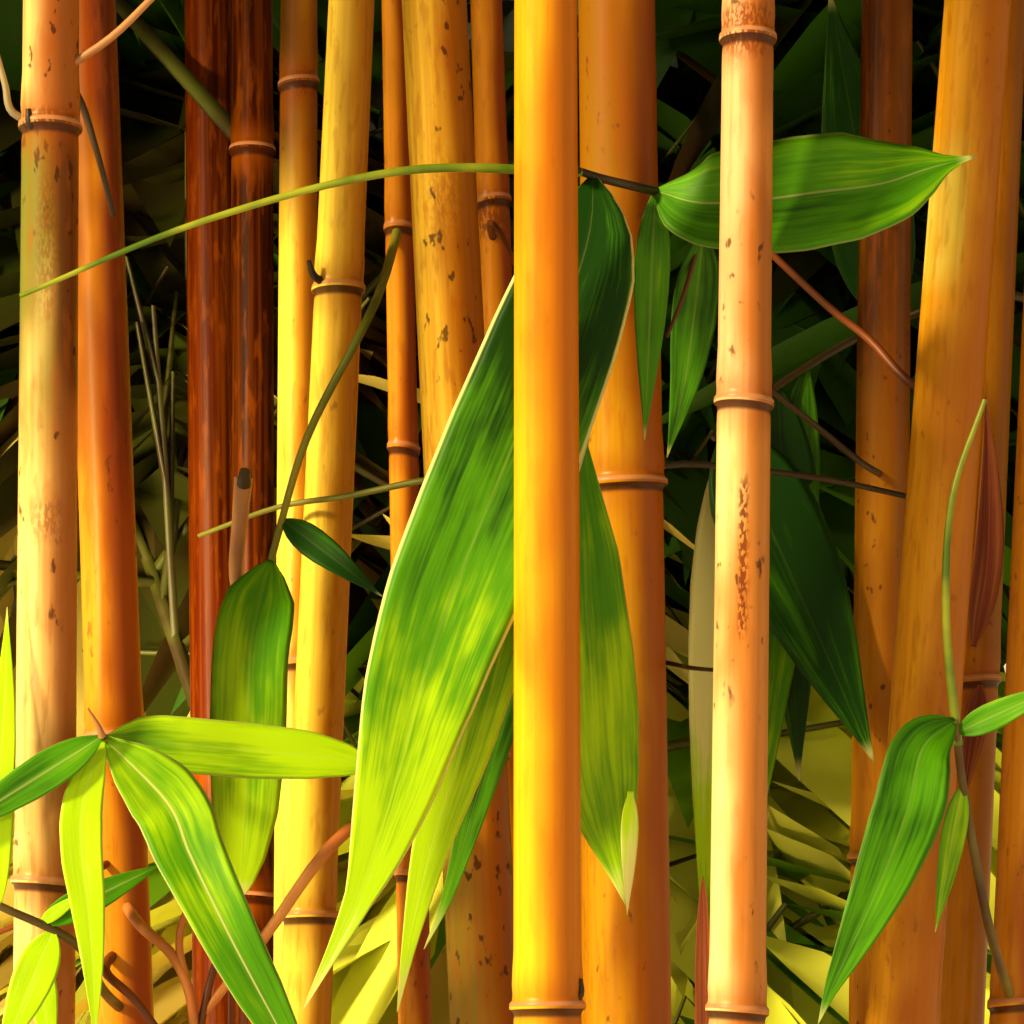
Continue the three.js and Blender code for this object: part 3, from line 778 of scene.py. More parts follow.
@dataclass
class Culms:
    """Every cane as a round culm with its rings, from the flat cut at the soil to its tip."""

    flare: float = 0.22
    flare_height: float = 16.0
    spacing: float = 24.0  # between rows of points away from a ring
    ring_rows: tuple[tuple[float, float], ...] = (
        (-9, 1.0), (-4.5, 1.005), (-2.4, 1.0), (-1.2, 0.985), (-0.5, 1.02), (-0.1, 1.115),
        (0.5, 1.13), (1.1, 1.12), (1.6, 1.045), (2.6, 1.03), (4.6, 1.05), (7.5, 1.03), (11, 1.0),
    )
    tilt: float = 1.1  # how far a ring dips on one side
    tilt_reach: float = 5.0  # how fast that is lost away from the ring
    tilt_sway: float = 0.5  # radians by which the side differs from ring to ring
    tilt_phase: float = 2.1  # radians from cane to cane
    tilt_joint: float = 150.0  # height over which it stays the same
    oval: float = 0.018
    shade_turn: float = 12.0  # degrees from +X, the side that the light doesn't reach, where the painted shade is deepest
    far: float = 60.0  # a ring farther off than this leaves no mark
    apart: float = 40.0  # between two canes in the pattern of their rinds

    def rows(self, cane: Cane) -> list[tuple[float, float, float, float]]:
        """The rows of points of one cane.

        Args:
            cane: The cane.

        Returns:
            For each row its height, its swelling, and how far it is under the next ring and
            past the last one.
        """
        rings = [ring for ring in cane.rings() if ring < cane.tip - SHORTEST_JOINT]
        flare = GROUND + self.flare_height
        found = [(GROUND, 1 + self.flare), (GROUND + self.flare_height / 3, 1 + self.flare / 3)]
        bottom = flare
        for ring in rings:
            top = ring + self.ring_rows[0][0]
            gaps = max(1, round((top - bottom) / self.spacing))
            found += [(bottom + (top - bottom) * i / gaps, 1.0) for i in range(gaps)]
            found += [(ring + rise, swell) for rise, swell in self.ring_rows]
            bottom = ring + self.ring_rows[-1][0] + self.spacing / 3
        gaps = round((cane.tip - bottom) / self.spacing)
        found += [(bottom + (cane.tip - bottom) * i / gaps, 1.0) for i in range(gaps + 1)]
        marked = {height for height, _ in cane.age if height > GROUND}
        for scar in cane.scars:
            marked |= {scar.low, scar.low + scar.fade, scar.high - scar.fade, scar.high}
        low, high = self.ring_rows[0][0], self.ring_rows[-1][0]
        clear = {height for height in marked if all(not low <= height - at <= high for at in rings)}
        found += [(height, 1.0) for height in clear if flare < height < cane.tip]
        rows = []
        for height, swell in sorted(found):
            under = min([ring - height for ring in rings if ring > height] + [self.far])
            past = min([height - ring for ring in rings if ring <= height] + [self.far])
            rows.append((height, swell, under, past))
        return rows

    def culm(self, cane: Cane, number: int) -> bpy.types.Object:
        """One cane's culm.

        Args:
            cane: The cane.
            number: Its place in the list.

        Returns:
            The finished object.
        """
        turns = np.linspace(0, 2 * math.pi, cane.sides, endpoint=False)
        circle = np.stack([np.cos(turns), np.sin(turns)], 1)
        sections, culm, shade, age, near = [], [], [], [], []
        heights, age_and_light_levels = zip(*cane.age)
        lit = math.radians(self.shade_turn)
        # Painted shade: each point's share of it, from 0 on the lit side to 1 on the side away from the
        # light.
        facing_away = np.cos(turns - lit) * 0.5 + 0.5
        for height, swell, under, past in self.rows(cane):
            radius = cane.radius(height)
            middle = cane.at(height)
            phase = number * self.tilt_phase + height // self.tilt_joint
            out = radius * swell * (1 + self.oval * np.cos(2 * turns + number))
            nearness = math.exp(-min(under, past) / self.tilt_reach)
            side = turns + math.pi / 2 + self.tilt_sway * math.sin(phase)
            section = np.stack([middle.x + circle[:, 0] * out, middle.y + circle[:, 1] * out], 1)
            sections.append(np.column_stack([section, height + self.tilt * nearness * np.cos(side)]))
            place = circle * radius + self.apart * number
            culm.append(np.column_stack([place, np.full(cane.sides, height)]))
            shade.append(facing_away)
            age.append(np.full(cane.sides, np.interp(height, heights, age_and_light_levels)))
            to_rings = np.tile([under, past], (cane.sides, 1))
            near.append(np.column_stack([to_rings, self.scarred(cane, height, turns)]))
        points, faces = lofted(np.array(sections))
        ends = [row.mean(0, keepdims=True) for row in (culm[0], culm[-1])]
        piece = Piece(f"culm_{number:02d}")
        piece.add(
            points,
            faces,
            culm=np.vstack([*culm, *ends]),
            shade=np.concatenate([*shade, [0.5, 0.5]]),
            age=np.concatenate([*age, [age_and_light_levels[0], age_and_light_levels[-1]]]),
            ring=np.vstack([*near, [[self.far, self.far, 0.0]] * 2]),
        )
        return piece.made(cane.look.value.material())

    def scarred(self, cane: Cane, height: float, turns: np.ndarray) -> np.ndarray:
        """How scarred a row of points is.

        Args:
            cane: The cane.
            height: The row's height.
            turns: The points' places round it.

        Returns:
            A share for each point.
        """
        shares = np.zeros(len(turns))
        for scar in cane.scars:
            inside = max(0.0, min(1.0, (height - scar.low) / scar.fade, (scar.high - height) / scar.fade))
            away = np.angle(np.exp(1j * (turns - math.radians(scar.turn))))
            shares = np.maximum(shares, inside * scar.depth * np.exp(-((away / scar.width) ** 2)))
        return shares

    def build(self) -> None:
        """Makes all the culms."""
        for number, cane in enumerate(CANES, 1):
            settle(self.culm(cane, number), "cane", f"cane_{number:02d}")


@dataclass(frozen=True)
class Blade:
    """One leaf near the eye, from its foot to its tip."""

    foot: Point
    tip: Point
    width: float
    fresh: tuple[float, float] = (0.2, 0.7)  # from dark green, 0, over lime, 1, to cream, 1.6: the leaf's own tone, with a painted glow of light through it in the lime and cream
    through: tuple[Point, ...] = ()  # places that its midrib passes
    outline: tuple[tuple[float, float], ...] = PLAIN_OUTLINE
    rib: float = 0.3  # how pale its midrib is
    margin: float = 0.4  # and its edge
    fold: float = 0.1  # how far its halves fold up
    twist: float = 0.0  # degrees over its length
    sag: float = 0.0  # how far its middle bends to the front
    slant: float = 0.0  # how much fresher its right half is


@dataclass(frozen=True)
class BladeFinish(Finish):
    """Fresh bamboo leaf: a thin blade with parallel veins, matt to satin above, whose edge and midrib are
    paler than the rest. Its lime and cream tones are partly its own fresher colour and partly a painted
    glow of light passing through it."""

    name: str = "bamboo_leaf"
    deep: str = "#123E04"
    middle: str = "#4C9204"
    lime: str = "#AEDE06"
    cream: str = "#E4E49A"
    vein_gap: float = 0.65  # mm: real veins stand half as far apart, too fine to show
    vein_length: float = 16.0
    patch: float = 14.0
    rib_width: float = 0.42
    roughness: float = 0.42

    def surface(self, tree: bpy.types.NodeTree) -> Inputs:
        """What the shader gets, from the marks that a blade's points carry.

        Args:
            tree: The material's tree.

        Returns:
            Values, sockets and nodes for the shader's sockets.
        """
        place = node(tree, ATTRIBUTE, attribute_name="blade").outputs["Vector"]
        edge = node(tree, ATTRIBUTE, attribute_name="edge").outputs["Fac"]
        tone = node(tree, ATTRIBUTE, attribute_name="fresh").outputs["Fac"]
        trim = node(tree, ATTRIBUTE, attribute_name="trim").outputs["Vector"]
        rib, margin, share = node(tree, APART, {0: trim}).outputs
        off_rib = node(tree, MATH, {0: node(tree, APART, {0: place})}, operation="ABSOLUTE")
        grains = (  # size across and along, and how far each moves the tone
            (self.vein_gap, self.vein_length, 0.08),
            (self.vein_gap * 4, self.vein_length * 3, 0.09),
            (self.patch * 0.7, self.patch * 1.6, 0.15),
        )
        clouds = []
        for across, along, much in grains:
            spot = node(tree, MAPPING, {0: place, 3: (1 / across, 1 / along, 1.0)})
            clouds.append(node(tree, NOISE, {"Vector": spot, "Scale": 1.0, "Detail": 3.0}))
            shift = node(tree, RANGE, {0: clouds[-1], 1: 0.3, 2: 0.7, 3: -much, 4: much}, **SMOOTH)
            tone = node(tree, MATH, {0: tone, 1: shift}, operation="ADD")
        veins = clouds[0]
        line = node(tree, RANGE, {0: off_rib, 1: self.rib_width, 2: self.rib_width * 0.3}, **SMOOTH)
        glow = node(tree, RANGE, {0: off_rib, 1: self.rib_width * 4, 2: self.rib_width, 4: 0.2}, **SMOOTH)
        ribbed = node(tree, MATH, {0: line, 1: glow}, operation="MAXIMUM")
        edged = node(tree, RANGE, {0: edge, 1: 0.93, 2: 0.985}, **SMOOTH)
        ribbed, edged = (
            node(tree, MATH, {0: pattern, 1: much}, operation="MULTIPLY")
            for pattern, much in ((ribbed, rib), (edged, margin))
        )
        layers = (
            (tone, 0.0, 0.5, 1.0, self.middle),
            (tone, 0.45, 1.0, 1.0, self.lime),
            (tone, 1.15, 1.65, 1.0, self.cream),
            (ribbed, 0.0, 1.0, 1.0, self.cream),
            (edged, 0.0, 1.0, 1.0, self.cream),
            (share, 0.93, 0.99, 0.6, self.cream),
        )
        gloss = {0: veins, 1: 0.3, 2: 0.7, 3: self.roughness, 4: self.roughness + 0.1}
        return {
            "Base Color": self.layered(tree, self.deep, *layers, **SMOOTH),
            "Roughness": node(tree, RANGE, gloss),
            "Normal": node(tree, BUMP, {"Strength": 0.35, "Distance": 0.12 * MM, "Height": veins}),
            "Specular IOR Level": 0.18,
        }


@dataclass(frozen=True)
class LeafFinish(Finish):
    """Bamboo leaf of the crown, seen in the mass: thin, satin, one tone to a spray, with a faint
    unevenness from leaf to leaf."""

    colour: str
    other: str  # what its patches turn towards
    patch: float = 60.0
    roughness: float = 0.45

    def surface(self, tree: bpy.types.NodeTree) -> Inputs:
        """What the shader gets, in the plant's own space.

        Args:
            tree: The material's tree.

        Returns:
            Values, sockets and nodes for the shader's sockets.
        """
        place = node(tree, SPACE).outputs["Object"]
        cloud = node(tree, NOISE, {"Vector": place, "Scale": METRE / self.patch, "Detail": 2.0})
        gloss = {0: cloud, 1: 0.3, 2: 0.7, 3: self.roughness - 0.05, 4: self.roughness + 0.1}
        return {
            "Base Color": self.layered(tree, self.colour, (cloud, 0.35, 0.65, 1.0, self.other)),
            "Roughness": node(tree, RANGE, gloss),
            "Specular IOR Level": 0.35,
        }


class Tone(Enum):
    """The tones that sprays of leaves are dealt, from the shade of the clump to its sunny side: partly by
    chance, partly as painted shade and painted sunlight by where a spray stands.
    """

    SHADE = LeafFinish("shade_leaf", "#34400E", "#3A240A")
    DEEP = LeafFinish("deep_leaf", "#345E12", "#2A4A0C")
    GREEN = LeafFinish("green_leaf", "#477F14", "#35680E")
    FRESH = LeafFinish("fresh_leaf", "#6FA51A", "#578C12")
    LIME = LeafFinish("lime_leaf", "#A8C834", "#88AC26")
    GLOW = LeafFinish("sunlit_leaf", "#EEF262", "#D2DC44")
    OLIVE = LeafFinish("olive_leaf", "#F0DC7C", "#D6C25C")


@dataclass(frozen=True)
class BarkFinish(Finish):
    """Skin of a young bamboo twig: smooth, thin and waxy, with darker rings at its joints."""

    skin: str
    dark: str
    joint: float = 26.0  # mm between its darker rings
    roughness: float = 0.5

    def surface(self, tree: bpy.types.NodeTree) -> Inputs:
        """What the shader gets, in the plant's own space.

        Args:
            tree: The material's tree.

        Returns:
            Values, sockets and nodes for the shader's sockets.
        """
        place = node(tree, SPACE).outputs["Object"]
        cloud = node(tree, NOISE, {"Vector": place, "Scale": METRE / self.joint, "Detail": 3.0})
        return {
            "Base Color": self.layered(tree, self.skin, (cloud, 0.38, 0.62, 1.0, self.dark)),
            "Normal": node(tree, BUMP, {"Strength": 0.3, "Distance": 0.2 * MM, "Height": cloud}),
            "Roughness": self.roughness,
        }


@dataclass
class Limb:
    """A twig or stem: the points of its middle and its radius at each."""

    points: list[Vector]
    radii: list[float]

    @classmethod
    def tapering(cls, points: list[Vector], start: float, end: float) -> "Limb":
        """A limb that thins evenly from its first radius to its last."""
        last = len(points) - 1
        return cls(points, [start + (end - start) * i / last for i in range(last + 1)])


class WoodTree:
    """The Geometry Nodes tree that gives limbs their round skin."""

    SIDES = 8  # faces round a limb that is seen from close by

    def __init__(self) -> None:
        """Builds the tree."""
        self.tree, given = growth_tree("twig_skin", {"Sides": self.SIDES})
        profile = {"Resolution": given.outputs["Sides"], "Radius": 1.0}
        skin = {
            "Curve": given,
            "Profile Curve": node(self.tree, "GeometryNodeCurvePrimitiveCircle", profile),
            "Scale": node(self.tree, NAMED, {"Name": "radius"}, data_type="FLOAT"),
            "Fill Caps": True,
        }
        finish_tree(self.tree, node(self.tree, "GeometryNodeCurveToMesh", skin), given)

    def skinned(
        self, name: str, limbs: list[Limb], material: bpy.types.Material, sides: int = SIDES
    ) -> bpy.types.Object:
        """Limbs as one plain mesh.

        Args:
            name: The object's name.
            limbs: The limbs.
            material: Their finish.
            sides: Faces round each.

        Returns:
            The object.
        """
        curve = bpy.data.curves.new(name + "_lines", "CURVE")
        curve.dimensions = "3D"
        for limb in limbs:
            spline = curve.splines.new("POLY")
            spline.points.add(len(limb.points) - 1)
            spline.points.foreach_set("co", [c for p in limb.points for c in (*(p * MM), 1.0)])
            spline.points.foreach_set("radius", [radius * MM for radius in limb.radii])
        return grown(name, curve, self.tree, {"Sides": sides, "Material": material})


@dataclass
class Leaf:
    """One leaf of the crown."""

    foot: Vector
    ahead: Vector
    over: Vector
    length: float
    breadth: float
    tone: Tone

    def points(self) -> list[Vector]:
        """Places along it, from its foot to its tip."""
        return [self.foot + self.ahead * self.length * share for share in (0.1, 0.4, 0.7, 1.0)]


class LeafTree:
    """The Geometry Nodes tree that hangs a leaf of a few faces on every point."""

    FORM = {
        "Rows": 8, "Width": 0.155, "Widest": 0.32, "Tip Power": 1.7, "Fold": 0.35, "Sag": 0.22,
        "Twist": 0.8,
    }
    SHAPES = ((0.2, 0.0), (0.5, 0.5), (0.95, -0.6), (0.35, 0.9))  # sag and twist of each shape
    BREADTHS = (0.85, 1.0, 1.15, 0.925, 1.075)  # dealt to the leaves in turn
    MERGED = 1e-4  # how near to each other points become one
    # The form of a leaf, in sums of two values each: the name of a sum, what it does, its values.
    SUMS = (
        ("along", "ADD", "y", 0.5),
        ("before", "DIVIDE", "along", "Widest"),
        ("before", "SUBTRACT", 1.0, "before"),
        ("before", "MAXIMUM", "before", 0.0),
        ("before", "POWER", "before", 2.0),
        ("before", "SUBTRACT", 1.0, "before"),
        ("early", "SQRT", "before", 0.0),
        ("past", "SUBTRACT", "along", "Widest"),
        ("rest", "SUBTRACT", 1.0, "Widest"),
        ("past", "DIVIDE", "past", "rest"),
        ("past", "MAXIMUM", "past", 0.0),
        ("past", "POWER", "past", "Tip Power"),
        ("late", "SUBTRACT", 1.0, "past"),
        ("outline", "MULTIPLY", "early", "late"),
        ("side", "MULTIPLY", "x", "outline"),
        ("side", "MULTIPLY", "side", "Width"),
        ("lift", "ABSOLUTE", "side", 0.0),
        ("lift", "MULTIPLY", "lift", "Fold"),
        ("down", "POWER", "along", 2.0),
        ("down", "MULTIPLY", "down", "Sag"),
        ("down", "MULTIPLY", "down", "sagging"),
        ("turn", "MULTIPLY", "along", "Twist"),
        ("turn", "MULTIPLY", "turn", "twisting"),
    )

    def __init__(self) -> None:
        """Builds the tree."""
        self.tree, given = growth_tree("leaf_sprays", self.FORM)
        shapes = node(self.tree, "GeometryNodeJoinGeometry")
        for sag, twist in reversed(self.SHAPES):
            self.tree.links.new(self.leaf(given, sag, twist).outputs[0], shapes.inputs[0])
        turn, size, kind = (
            node(self.tree, NAMED, {"Name": name}, data_type=held)
            for name, held in (("turn", "FLOAT_VECTOR"), ("size", "FLOAT_VECTOR"), ("kind", "INT"))
        )
        hanging = {
            "Points": given,
            "Instance": shapes,
            "Pick Instance": True,
            "Instance Index": kind,
            "Rotation": node(self.tree, "FunctionNodeEulerToRotation", {0: turn}),
            "Scale": size,
        }
        finish_tree(self.tree, node(self.tree, INSTANCES, hanging), given)

    def leaf(self, given: bpy.types.Node, sag: float, twist: float) -> bpy.types.Node:
        """One shape of leaf, a unit long along +Y.

        Args:
            given: The node that gives the tree's inputs.
            sag: How much of the given sag it has.
            twist: How much of the given twist it has.

        Returns:
            The node that gives it as an instance.
        """
        tree = self.tree
        flat = node(tree, APART, {0: node(tree, "GeometryNodeInputPosition")}).outputs
        values = {output.name: output for output in given.outputs}
        values |= {"x": flat["X"], "y": flat["Y"], "sagging": -sag, "twisting": twist}
        for name, operation, first, second in self.SUMS:
            pair = {0: values.get(first, first), 1: values.get(second, second)}
            values[name] = node(tree, MATH, pair, operation=operation)
        bent = node(tree, TOGETHER, {0: values["side"], 2: values["lift"]})
        turning = {"Vector": bent, "Angle": values["turn"]}
        turned = node(tree, "ShaderNodeVectorRotate", turning, rotation_type="Y_AXIS")
        length = node(tree, TOGETHER, {1: values["along"], 2: values["down"]})
        place = node(tree, VECTORS, {0: turned, 1: length}, operation="ADD")
        sheet = {"Size X": 1.0, "Size Y": 1.0, "Vertices X": 3, "Vertices Y": values["Rows"]}
        grid = node(tree, "GeometryNodeMeshGrid", sheet)
        shaped = node(tree, "GeometryNodeSetPosition", {"Geometry": grid, "Position": place})
        closing = {"Geometry": shaped, "Distance": self.MERGED}
        closed = node(tree, "GeometryNodeMergeByDistance", closing)
        return node(tree, "GeometryNodeGeometryToInstance", {0: closed})

    def hung(self, name: str, leaves: list[Leaf], material: bpy.types.Material) -> bpy.types.Object:
        """Leaves as one plain mesh.

        Args:
            name: The object's name.
            leaves: The leaves.
            material: Their finish.

        Returns:
            The object.
        """
        mesh = bpy.data.meshes.new(name + "_feet")
        mesh.from_pydata([leaf.foot * MM for leaf in leaves], [], [])
        turns, sizes, kinds = [], [], []
        for i, leaf in enumerate(leaves):
            side = leaf.ahead.cross(leaf.over)
            turns += Matrix((side, leaf.ahead, leaf.over)).transposed().to_euler("XYZ")
            length = leaf.length * MM
            sizes += (length * leaf.breadth * self.BREADTHS[i % len(self.BREADTHS)], length, length)
            kinds.append(i % len(self.SHAPES))
        for mark, kind, key, values in (
            ("turn", "FLOAT_VECTOR", "vector", turns),
            ("size", "FLOAT_VECTOR", "vector", sizes),
            ("kind", "INT", "value", kinds),
        ):
            mesh.attributes.new(mark, kind, "POINT").data.foreach_set(key, values)
        return grown(name, mesh, self.tree, {**self.FORM, "Material": material})


@dataclass(frozen=True)
class Plan:
    """How twigs and leaves grow on a stem. The first group of values is the source's own rule."""

    first_twig: float
    twigs: int
    leaves: int
    finer_twigs: int = 10  # twigs added between the source's own
    side_twigs: int = 4  # on each twig
    side_leaves: int = 5  # on each of those
    lift: float = 0.0  # how far above the source's leaves the finer ones may stand
    finer_from: float = 0.3  # share of the stem's length where the finer twigs begin
    leaf: float = 0.74  # the size of a finer leaf, as a share of the source's
    breadth: float = 1.0  # of a finer leaf
    margin: float = 4.0  # how far a leaf's tip may stand out beside its mass's box


@dataclass(frozen=True)
class Branch:
    """A leafy side branch: its cane, the height that its ring is above, and its heading."""

    cane: int
    above: float
    heading: float
    finer: dict[str, float] = field(default_factory=dict)  # what its plan has of its own


BACKDROP = {"finer_from": 0.04, "leaf": 0.95, "breadth": 1.45, "margin": 26.0}
BRANCHES = (
    Branch(5, 860, 205),
    Branch(17, 780, 175),
    Branch(7, 600, 112, {"finer_twigs": 50, "lift": 50, **BACKDROP}),
    Branch(19, 560, 88, {"finer_twigs": 38, "lift": 55, **BACKDROP}),
    Branch(8, 700, 138, {"finer_twigs": 52, "lift": 55, **BACKDROP}),
    Branch(14, 900, 55),
    Branch(18, 760, 5),
    Branch(13, 960, 335),
    Branch(16, 790, 345),
    Branch(2, 930, 300),
    Branch(1, 980, 255),
    Branch(6, 900, 238),
    Branch(19, 400, 94, {"finer_twigs": 38, "lift": 30, **BACKDROP}),
    Branch(18, 560, 72, {"finer_twigs": 38, "lift": 50, **BACKDROP}),
)


@dataclass
class PhotoView:
    """The place that the plant is looked at from, close by and level."""

    distance: float = 700.0  # in front of the foremost cane
    half_width: float = 0.135  # of the view, for each millimetre ahead
    lens: float = 133.3
    sensor: float = 36.0
    farthest: float = 200.0  # metres, as far as it sees
    clear_to: float = 100.0  # Y behind which foliage may fill the view
    margin: float = 1.06
    backdrop: float = 1.3  # how far around the view its tones are dealt, as a share of its reach

    def build(self) -> None:
        """Makes the camera."""
        data = bpy.data.cameras.new("view")
        data.sensor_width = self.sensor
        data.lens = self.lens
        data.clip_end = self.farthest
        camera = placed("view", data)
        camera.location = Vector((0, FRONT - self.distance, EYE)) * MM
        camera.rotation_euler = (math.pi / 2, 0, 0)
        bpy.context.scene.camera = camera

    def holds(self, point: Vector, margin: float) -> bool:
        """True where a point lies in the view, taken to reach a margin times as far."""
        reach = (point.y - FRONT + self.distance) * self.half_width * margin
        return abs(point.x) < reach and abs(point.z - EYE) < reach

    def crossed(self, points: Sequence[Vector]) -> bool:
        """True where something with these places on it would stand before the bare canes."""
        return any(point.y < self.clear_to and self.holds(point, self.margin) for point in points)


@dataclass(frozen=True)
class Zone:
    """A part of the backdrop whose sprays are dealt from two tones."""

    left_of: float
    above: float
    often: Tone
    other: Tone
    share: float  # of the tone that is dealt more often


# Painted light in the backdrop behind the canes: the SHADE and DEEP tones paint shade higher up, the
# OLIVE, GLOW and FRESH tones paint sunlight lower down.
ZONES = (
    Zone(-20, 775, Tone.SHADE, Tone.DEEP, 0.75),
    Zone(-20, 730, Tone.SHADE, Tone.OLIVE, 0.3),
    Zone(-20, 0, Tone.OLIVE, Tone.GLOW, 0.6),
    Zone(999, 765, Tone.SHADE, Tone.DEEP, 0.3),
    Zone(999, 725, Tone.DEEP, Tone.FRESH, 0.35),
    Zone(999, 0, Tone.GLOW, Tone.FRESH, 0.8),
)


@dataclass
class Crown:
    """The masses of foliage, carried on from the source's rule to finer twigs."""

    view: PhotoView
    head: Plan = Plan(0.1, 3, 3)
    branch: Plan = Plan(0.35, 3, 3)
    head_seed: int = 100
    branch_seed: int = 500
    finer_seed: int = 4000
    twig_seeds: tuple[int, int] = (31, 7)  # what a twig's place is multiplied by, and added
    leaf_draws: int = 3  # numbers that the source draws for each of its leaves
    head_steps: int = 4
    branch_steps: int = 3
    branch_length: float = 330.0
    branch_lengths: tuple[float, float] = (0.85, 1.15)  # shares of that
    branch_rise: float = 44.0
    branch_droop: float = 75.0
    branch_radius: float = 2.3
    branch_turn: float = 58.0
    branch_size: float = 0.92
    head_size: float = 0.8
    head_growth: float = 0.25
    twig_scatter: float = 0.4  # of the stretch between two twigs
    twig_length: float = 130.0
    twig_lengths: tuple[float, float] = (0.75, 1.25)
    twig_shortening: float = 0.35  # share of its length lost by a twig at the stem's end
    twig_rise: float = 8.0
    twig_rises: float = 24.0  # degrees, from the lowest to the highest
    twig_turns: float = 30.0
    twig_radius: float = 1.5
    twig_bow: float = 0.05  # of its length
    thinning: float = 0.5  # what a branch and a twig keep of their radius
    finer_end: float = 0.98  # share of the stem's length where the finer twigs end
    finer_lengths: tuple[float, float] = (0.7, 1.3)
    finer_rise: float = 18.0
    finer_rises: float = 60.0
    finer_turns: float = 40.0
    side_from: float = 0.2  # share of its twig's length where the first side twig is
    side_stretch: float = 0.7  # and over how much of that length they stand
    side_scatter: float = 0.5
    side_turns: tuple[float, float] = (28.0, 58.0)
    side_rises: float = 50.0
    side_length: float = 0.5  # of a side twig, as a share of its twig's
    side_lengths: tuple[float, float] = (0.7, 1.1)
    side_radii: tuple[float, float] = (0.6, 0.35)
    end_leaves: int = 2  # more than a side twig has, at the end of the stem
    leaf_length: float = 178.0
    leaf_lengths: tuple[float, float] = (0.7, 1.12)
    leaf_from: float = 0.35  # share of the twig's length where its leaves begin
    leaf_fan: float = 51.0
    fan_closing: float = 1.15
    leaf_turns: float = 26.0
    leaf_droop: float = 34.0
    leaf_dips: tuple[float, float] = (0.2, 1.5)
    leaf_rolls: float = 70.0
    clearance: float = 2.0  # from a leaf to a cane
    margin: float = 4.0  # how far a leaf's tip may stand above or below its mass's box
    fall: float = 0.8  # how far its leaves may hang below it, for each millimetre of lift
    backdrop_from: float = 80.0  # Y behind which the zones deal the tones
    reach: float = 500.0  # from the clump's middle to its outermost leaves
    mid_height: float = 900.0
    height_span: float = 1100.0
    light: Point = (0.45, 0.25, 0.55)  # painted light: how much a tone goes by reach, height and chance, lighter farther out and higher up
    tones: tuple[tuple[float, Tone], ...] = (
        (0.3, Tone.DEEP), (0.62, Tone.GREEN), (0.92, Tone.FRESH), (math.inf, Tone.LIME),
    )
    limbs: list[Limb] = field(default_factory=list)
    leaves: list[Leaf] = field(default_factory=list)

    def stands_free(self, leaf: Leaf, low: Vector, high: Vector) -> bool:
        """True where a leaf keeps to its mass's space and clear of the canes and the view.

        Args:
            leaf: The leaf.
            low: The lowest corner of the space.
            high: The highest corner of the space.

        Returns:
            Whether it does.
        """
        points = leaf.points()
        inside = all(low[k] < point[k] < high[k] for point in points for k in range(3))
        if not inside or self.view.crossed(points):
            return False
        for cane in CANES:
            for point in points:
                if point.z < cane.tip:
                    middle = cane.at(point.z)
                    away = math.hypot(point.x - middle.x, point.y - middle.y)
                    if away < cane.radius(point.z) + self.clearance:
                        return False
        return True

    def tone_at(self, place: Vector, random: Seeded) -> Tone:
        """The tone that a spray is dealt.

        Args:
            place: Where the spray is.
            random: What it is dealt by.

        Returns:
            The tone.
        """
        chance = random.draw()
        if place.y > self.backdrop_from and self.view.holds(place, self.view.backdrop):
            for zone in ZONES:
                if place.x < zone.left_of and place.z > zone.above:
                    return zone.often if chance < zone.share else zone.other
        by_reach, by_height, by_chance = self.light
        out = math.hypot(place.x, place.y) / self.reach
        score = by_reach * out + by_height * (place.z - self.mid_height) / self.height_span
        score += by_chance * chance
        return next(tone for below, tone in self.tones if score < below)

    def spray(
        self, path: Path, heading: float, count: int, size: float, plan: Plan, random: Seeded, box: Box
    ) -> None:
        """Leaves in a fan at the end of a twig.

        Args:
            path: The twig.
            heading: The way it points.
            count: How many leaves there are.
            size: Their size, as a share of the source's.
            plan: How they grow.
            random: What scatters them.
            box: The corners of the mass's space.
        """
        tone = self.tone_at(path(1.0), random)
        for i in range(count):
            share = (i + 1) / count
            spread = (1 if i % 2 else -1) * self.leaf_fan * (self.fan_closing - share)
            length = self.leaf_length * plan.leaf * size * random.within(*self.leaf_lengths)
            aim = heading + spread + random.scattered(self.leaf_turns)
            dip = -self.leaf_droop * random.within(*self.leaf_dips)
            ahead = towards(aim, dip)
            over = towards(aim + random.scattered(self.leaf_rolls), dip + 90)
            over = (over - ahead * over.dot(ahead)).normalized()
            foot = path(self.leaf_from + (1 - self.leaf_from) * share)
            leaf = Leaf(foot, ahead, over, length, plan.breadth, tone)
            if self.stands_free(leaf, *box):
                self.leaves.append(leaf)

    def twig(
        self,
        start: Vector,
        ahead: tuple[float, float],
        length: float,
        size: float,
        plan: Plan,
        random: Seeded,
        box: Box,
    ) -> None:
        """A twig with its side twigs and their leaves.

        Args:
            start: Where it leaves its stem.
            ahead: The way it points: degrees round from +X and above the level.
            length: Its length.
            size: The size of its leaves.
            plan: How much grows on it.
            random: What scatters it.
            box: The corners of the mass's space.
        """
        heading, rise = ahead
        end = start + towards(heading, rise) * length
        middle = start.lerp(end, 0.5) + UP * length * self.twig_bow
        points = [start, middle, end]
        if self.view.crossed(points):
            return

        def path(share: float) -> Vector:
            """The point at a share of the twig."""
            return start.lerp(middle, share * 2) if share < 0.5 else middle.lerp(end, share * 2 - 1)

        bare = len(self.leaves)
        self.spray(path, heading, plan.side_leaves, size, plan, random, box)
        for i in range(plan.side_twigs):
            stretch = self.side_stretch * (i + random.draw() * self.side_scatter)
            foot = path(self.side_from + stretch / plan.side_twigs)
            aim = heading + (1 if i % 2 else -1) * random.within(*self.side_turns)
            reach = length * self.side_length * random.within(*self.side_lengths)
            tip = foot + towards(aim, rise + random.scattered(self.side_rises)) * reach
            if self.view.crossed([tip]):
                continue
            bare_side = len(self.leaves)
            self.spray(partial(foot.lerp, tip), aim, plan.side_leaves, size, plan, random, box)
            if len(self.leaves) > bare_side:
                radii = (self.twig_radius * share for share in self.side_radii)
                self.limbs.append(Limb.tapering([foot, tip], *radii))
        if len(self.leaves) > bare:
            self.limbs.append(Limb.tapering(points, self.twig_radius, self.twig_radius * self.thinning))

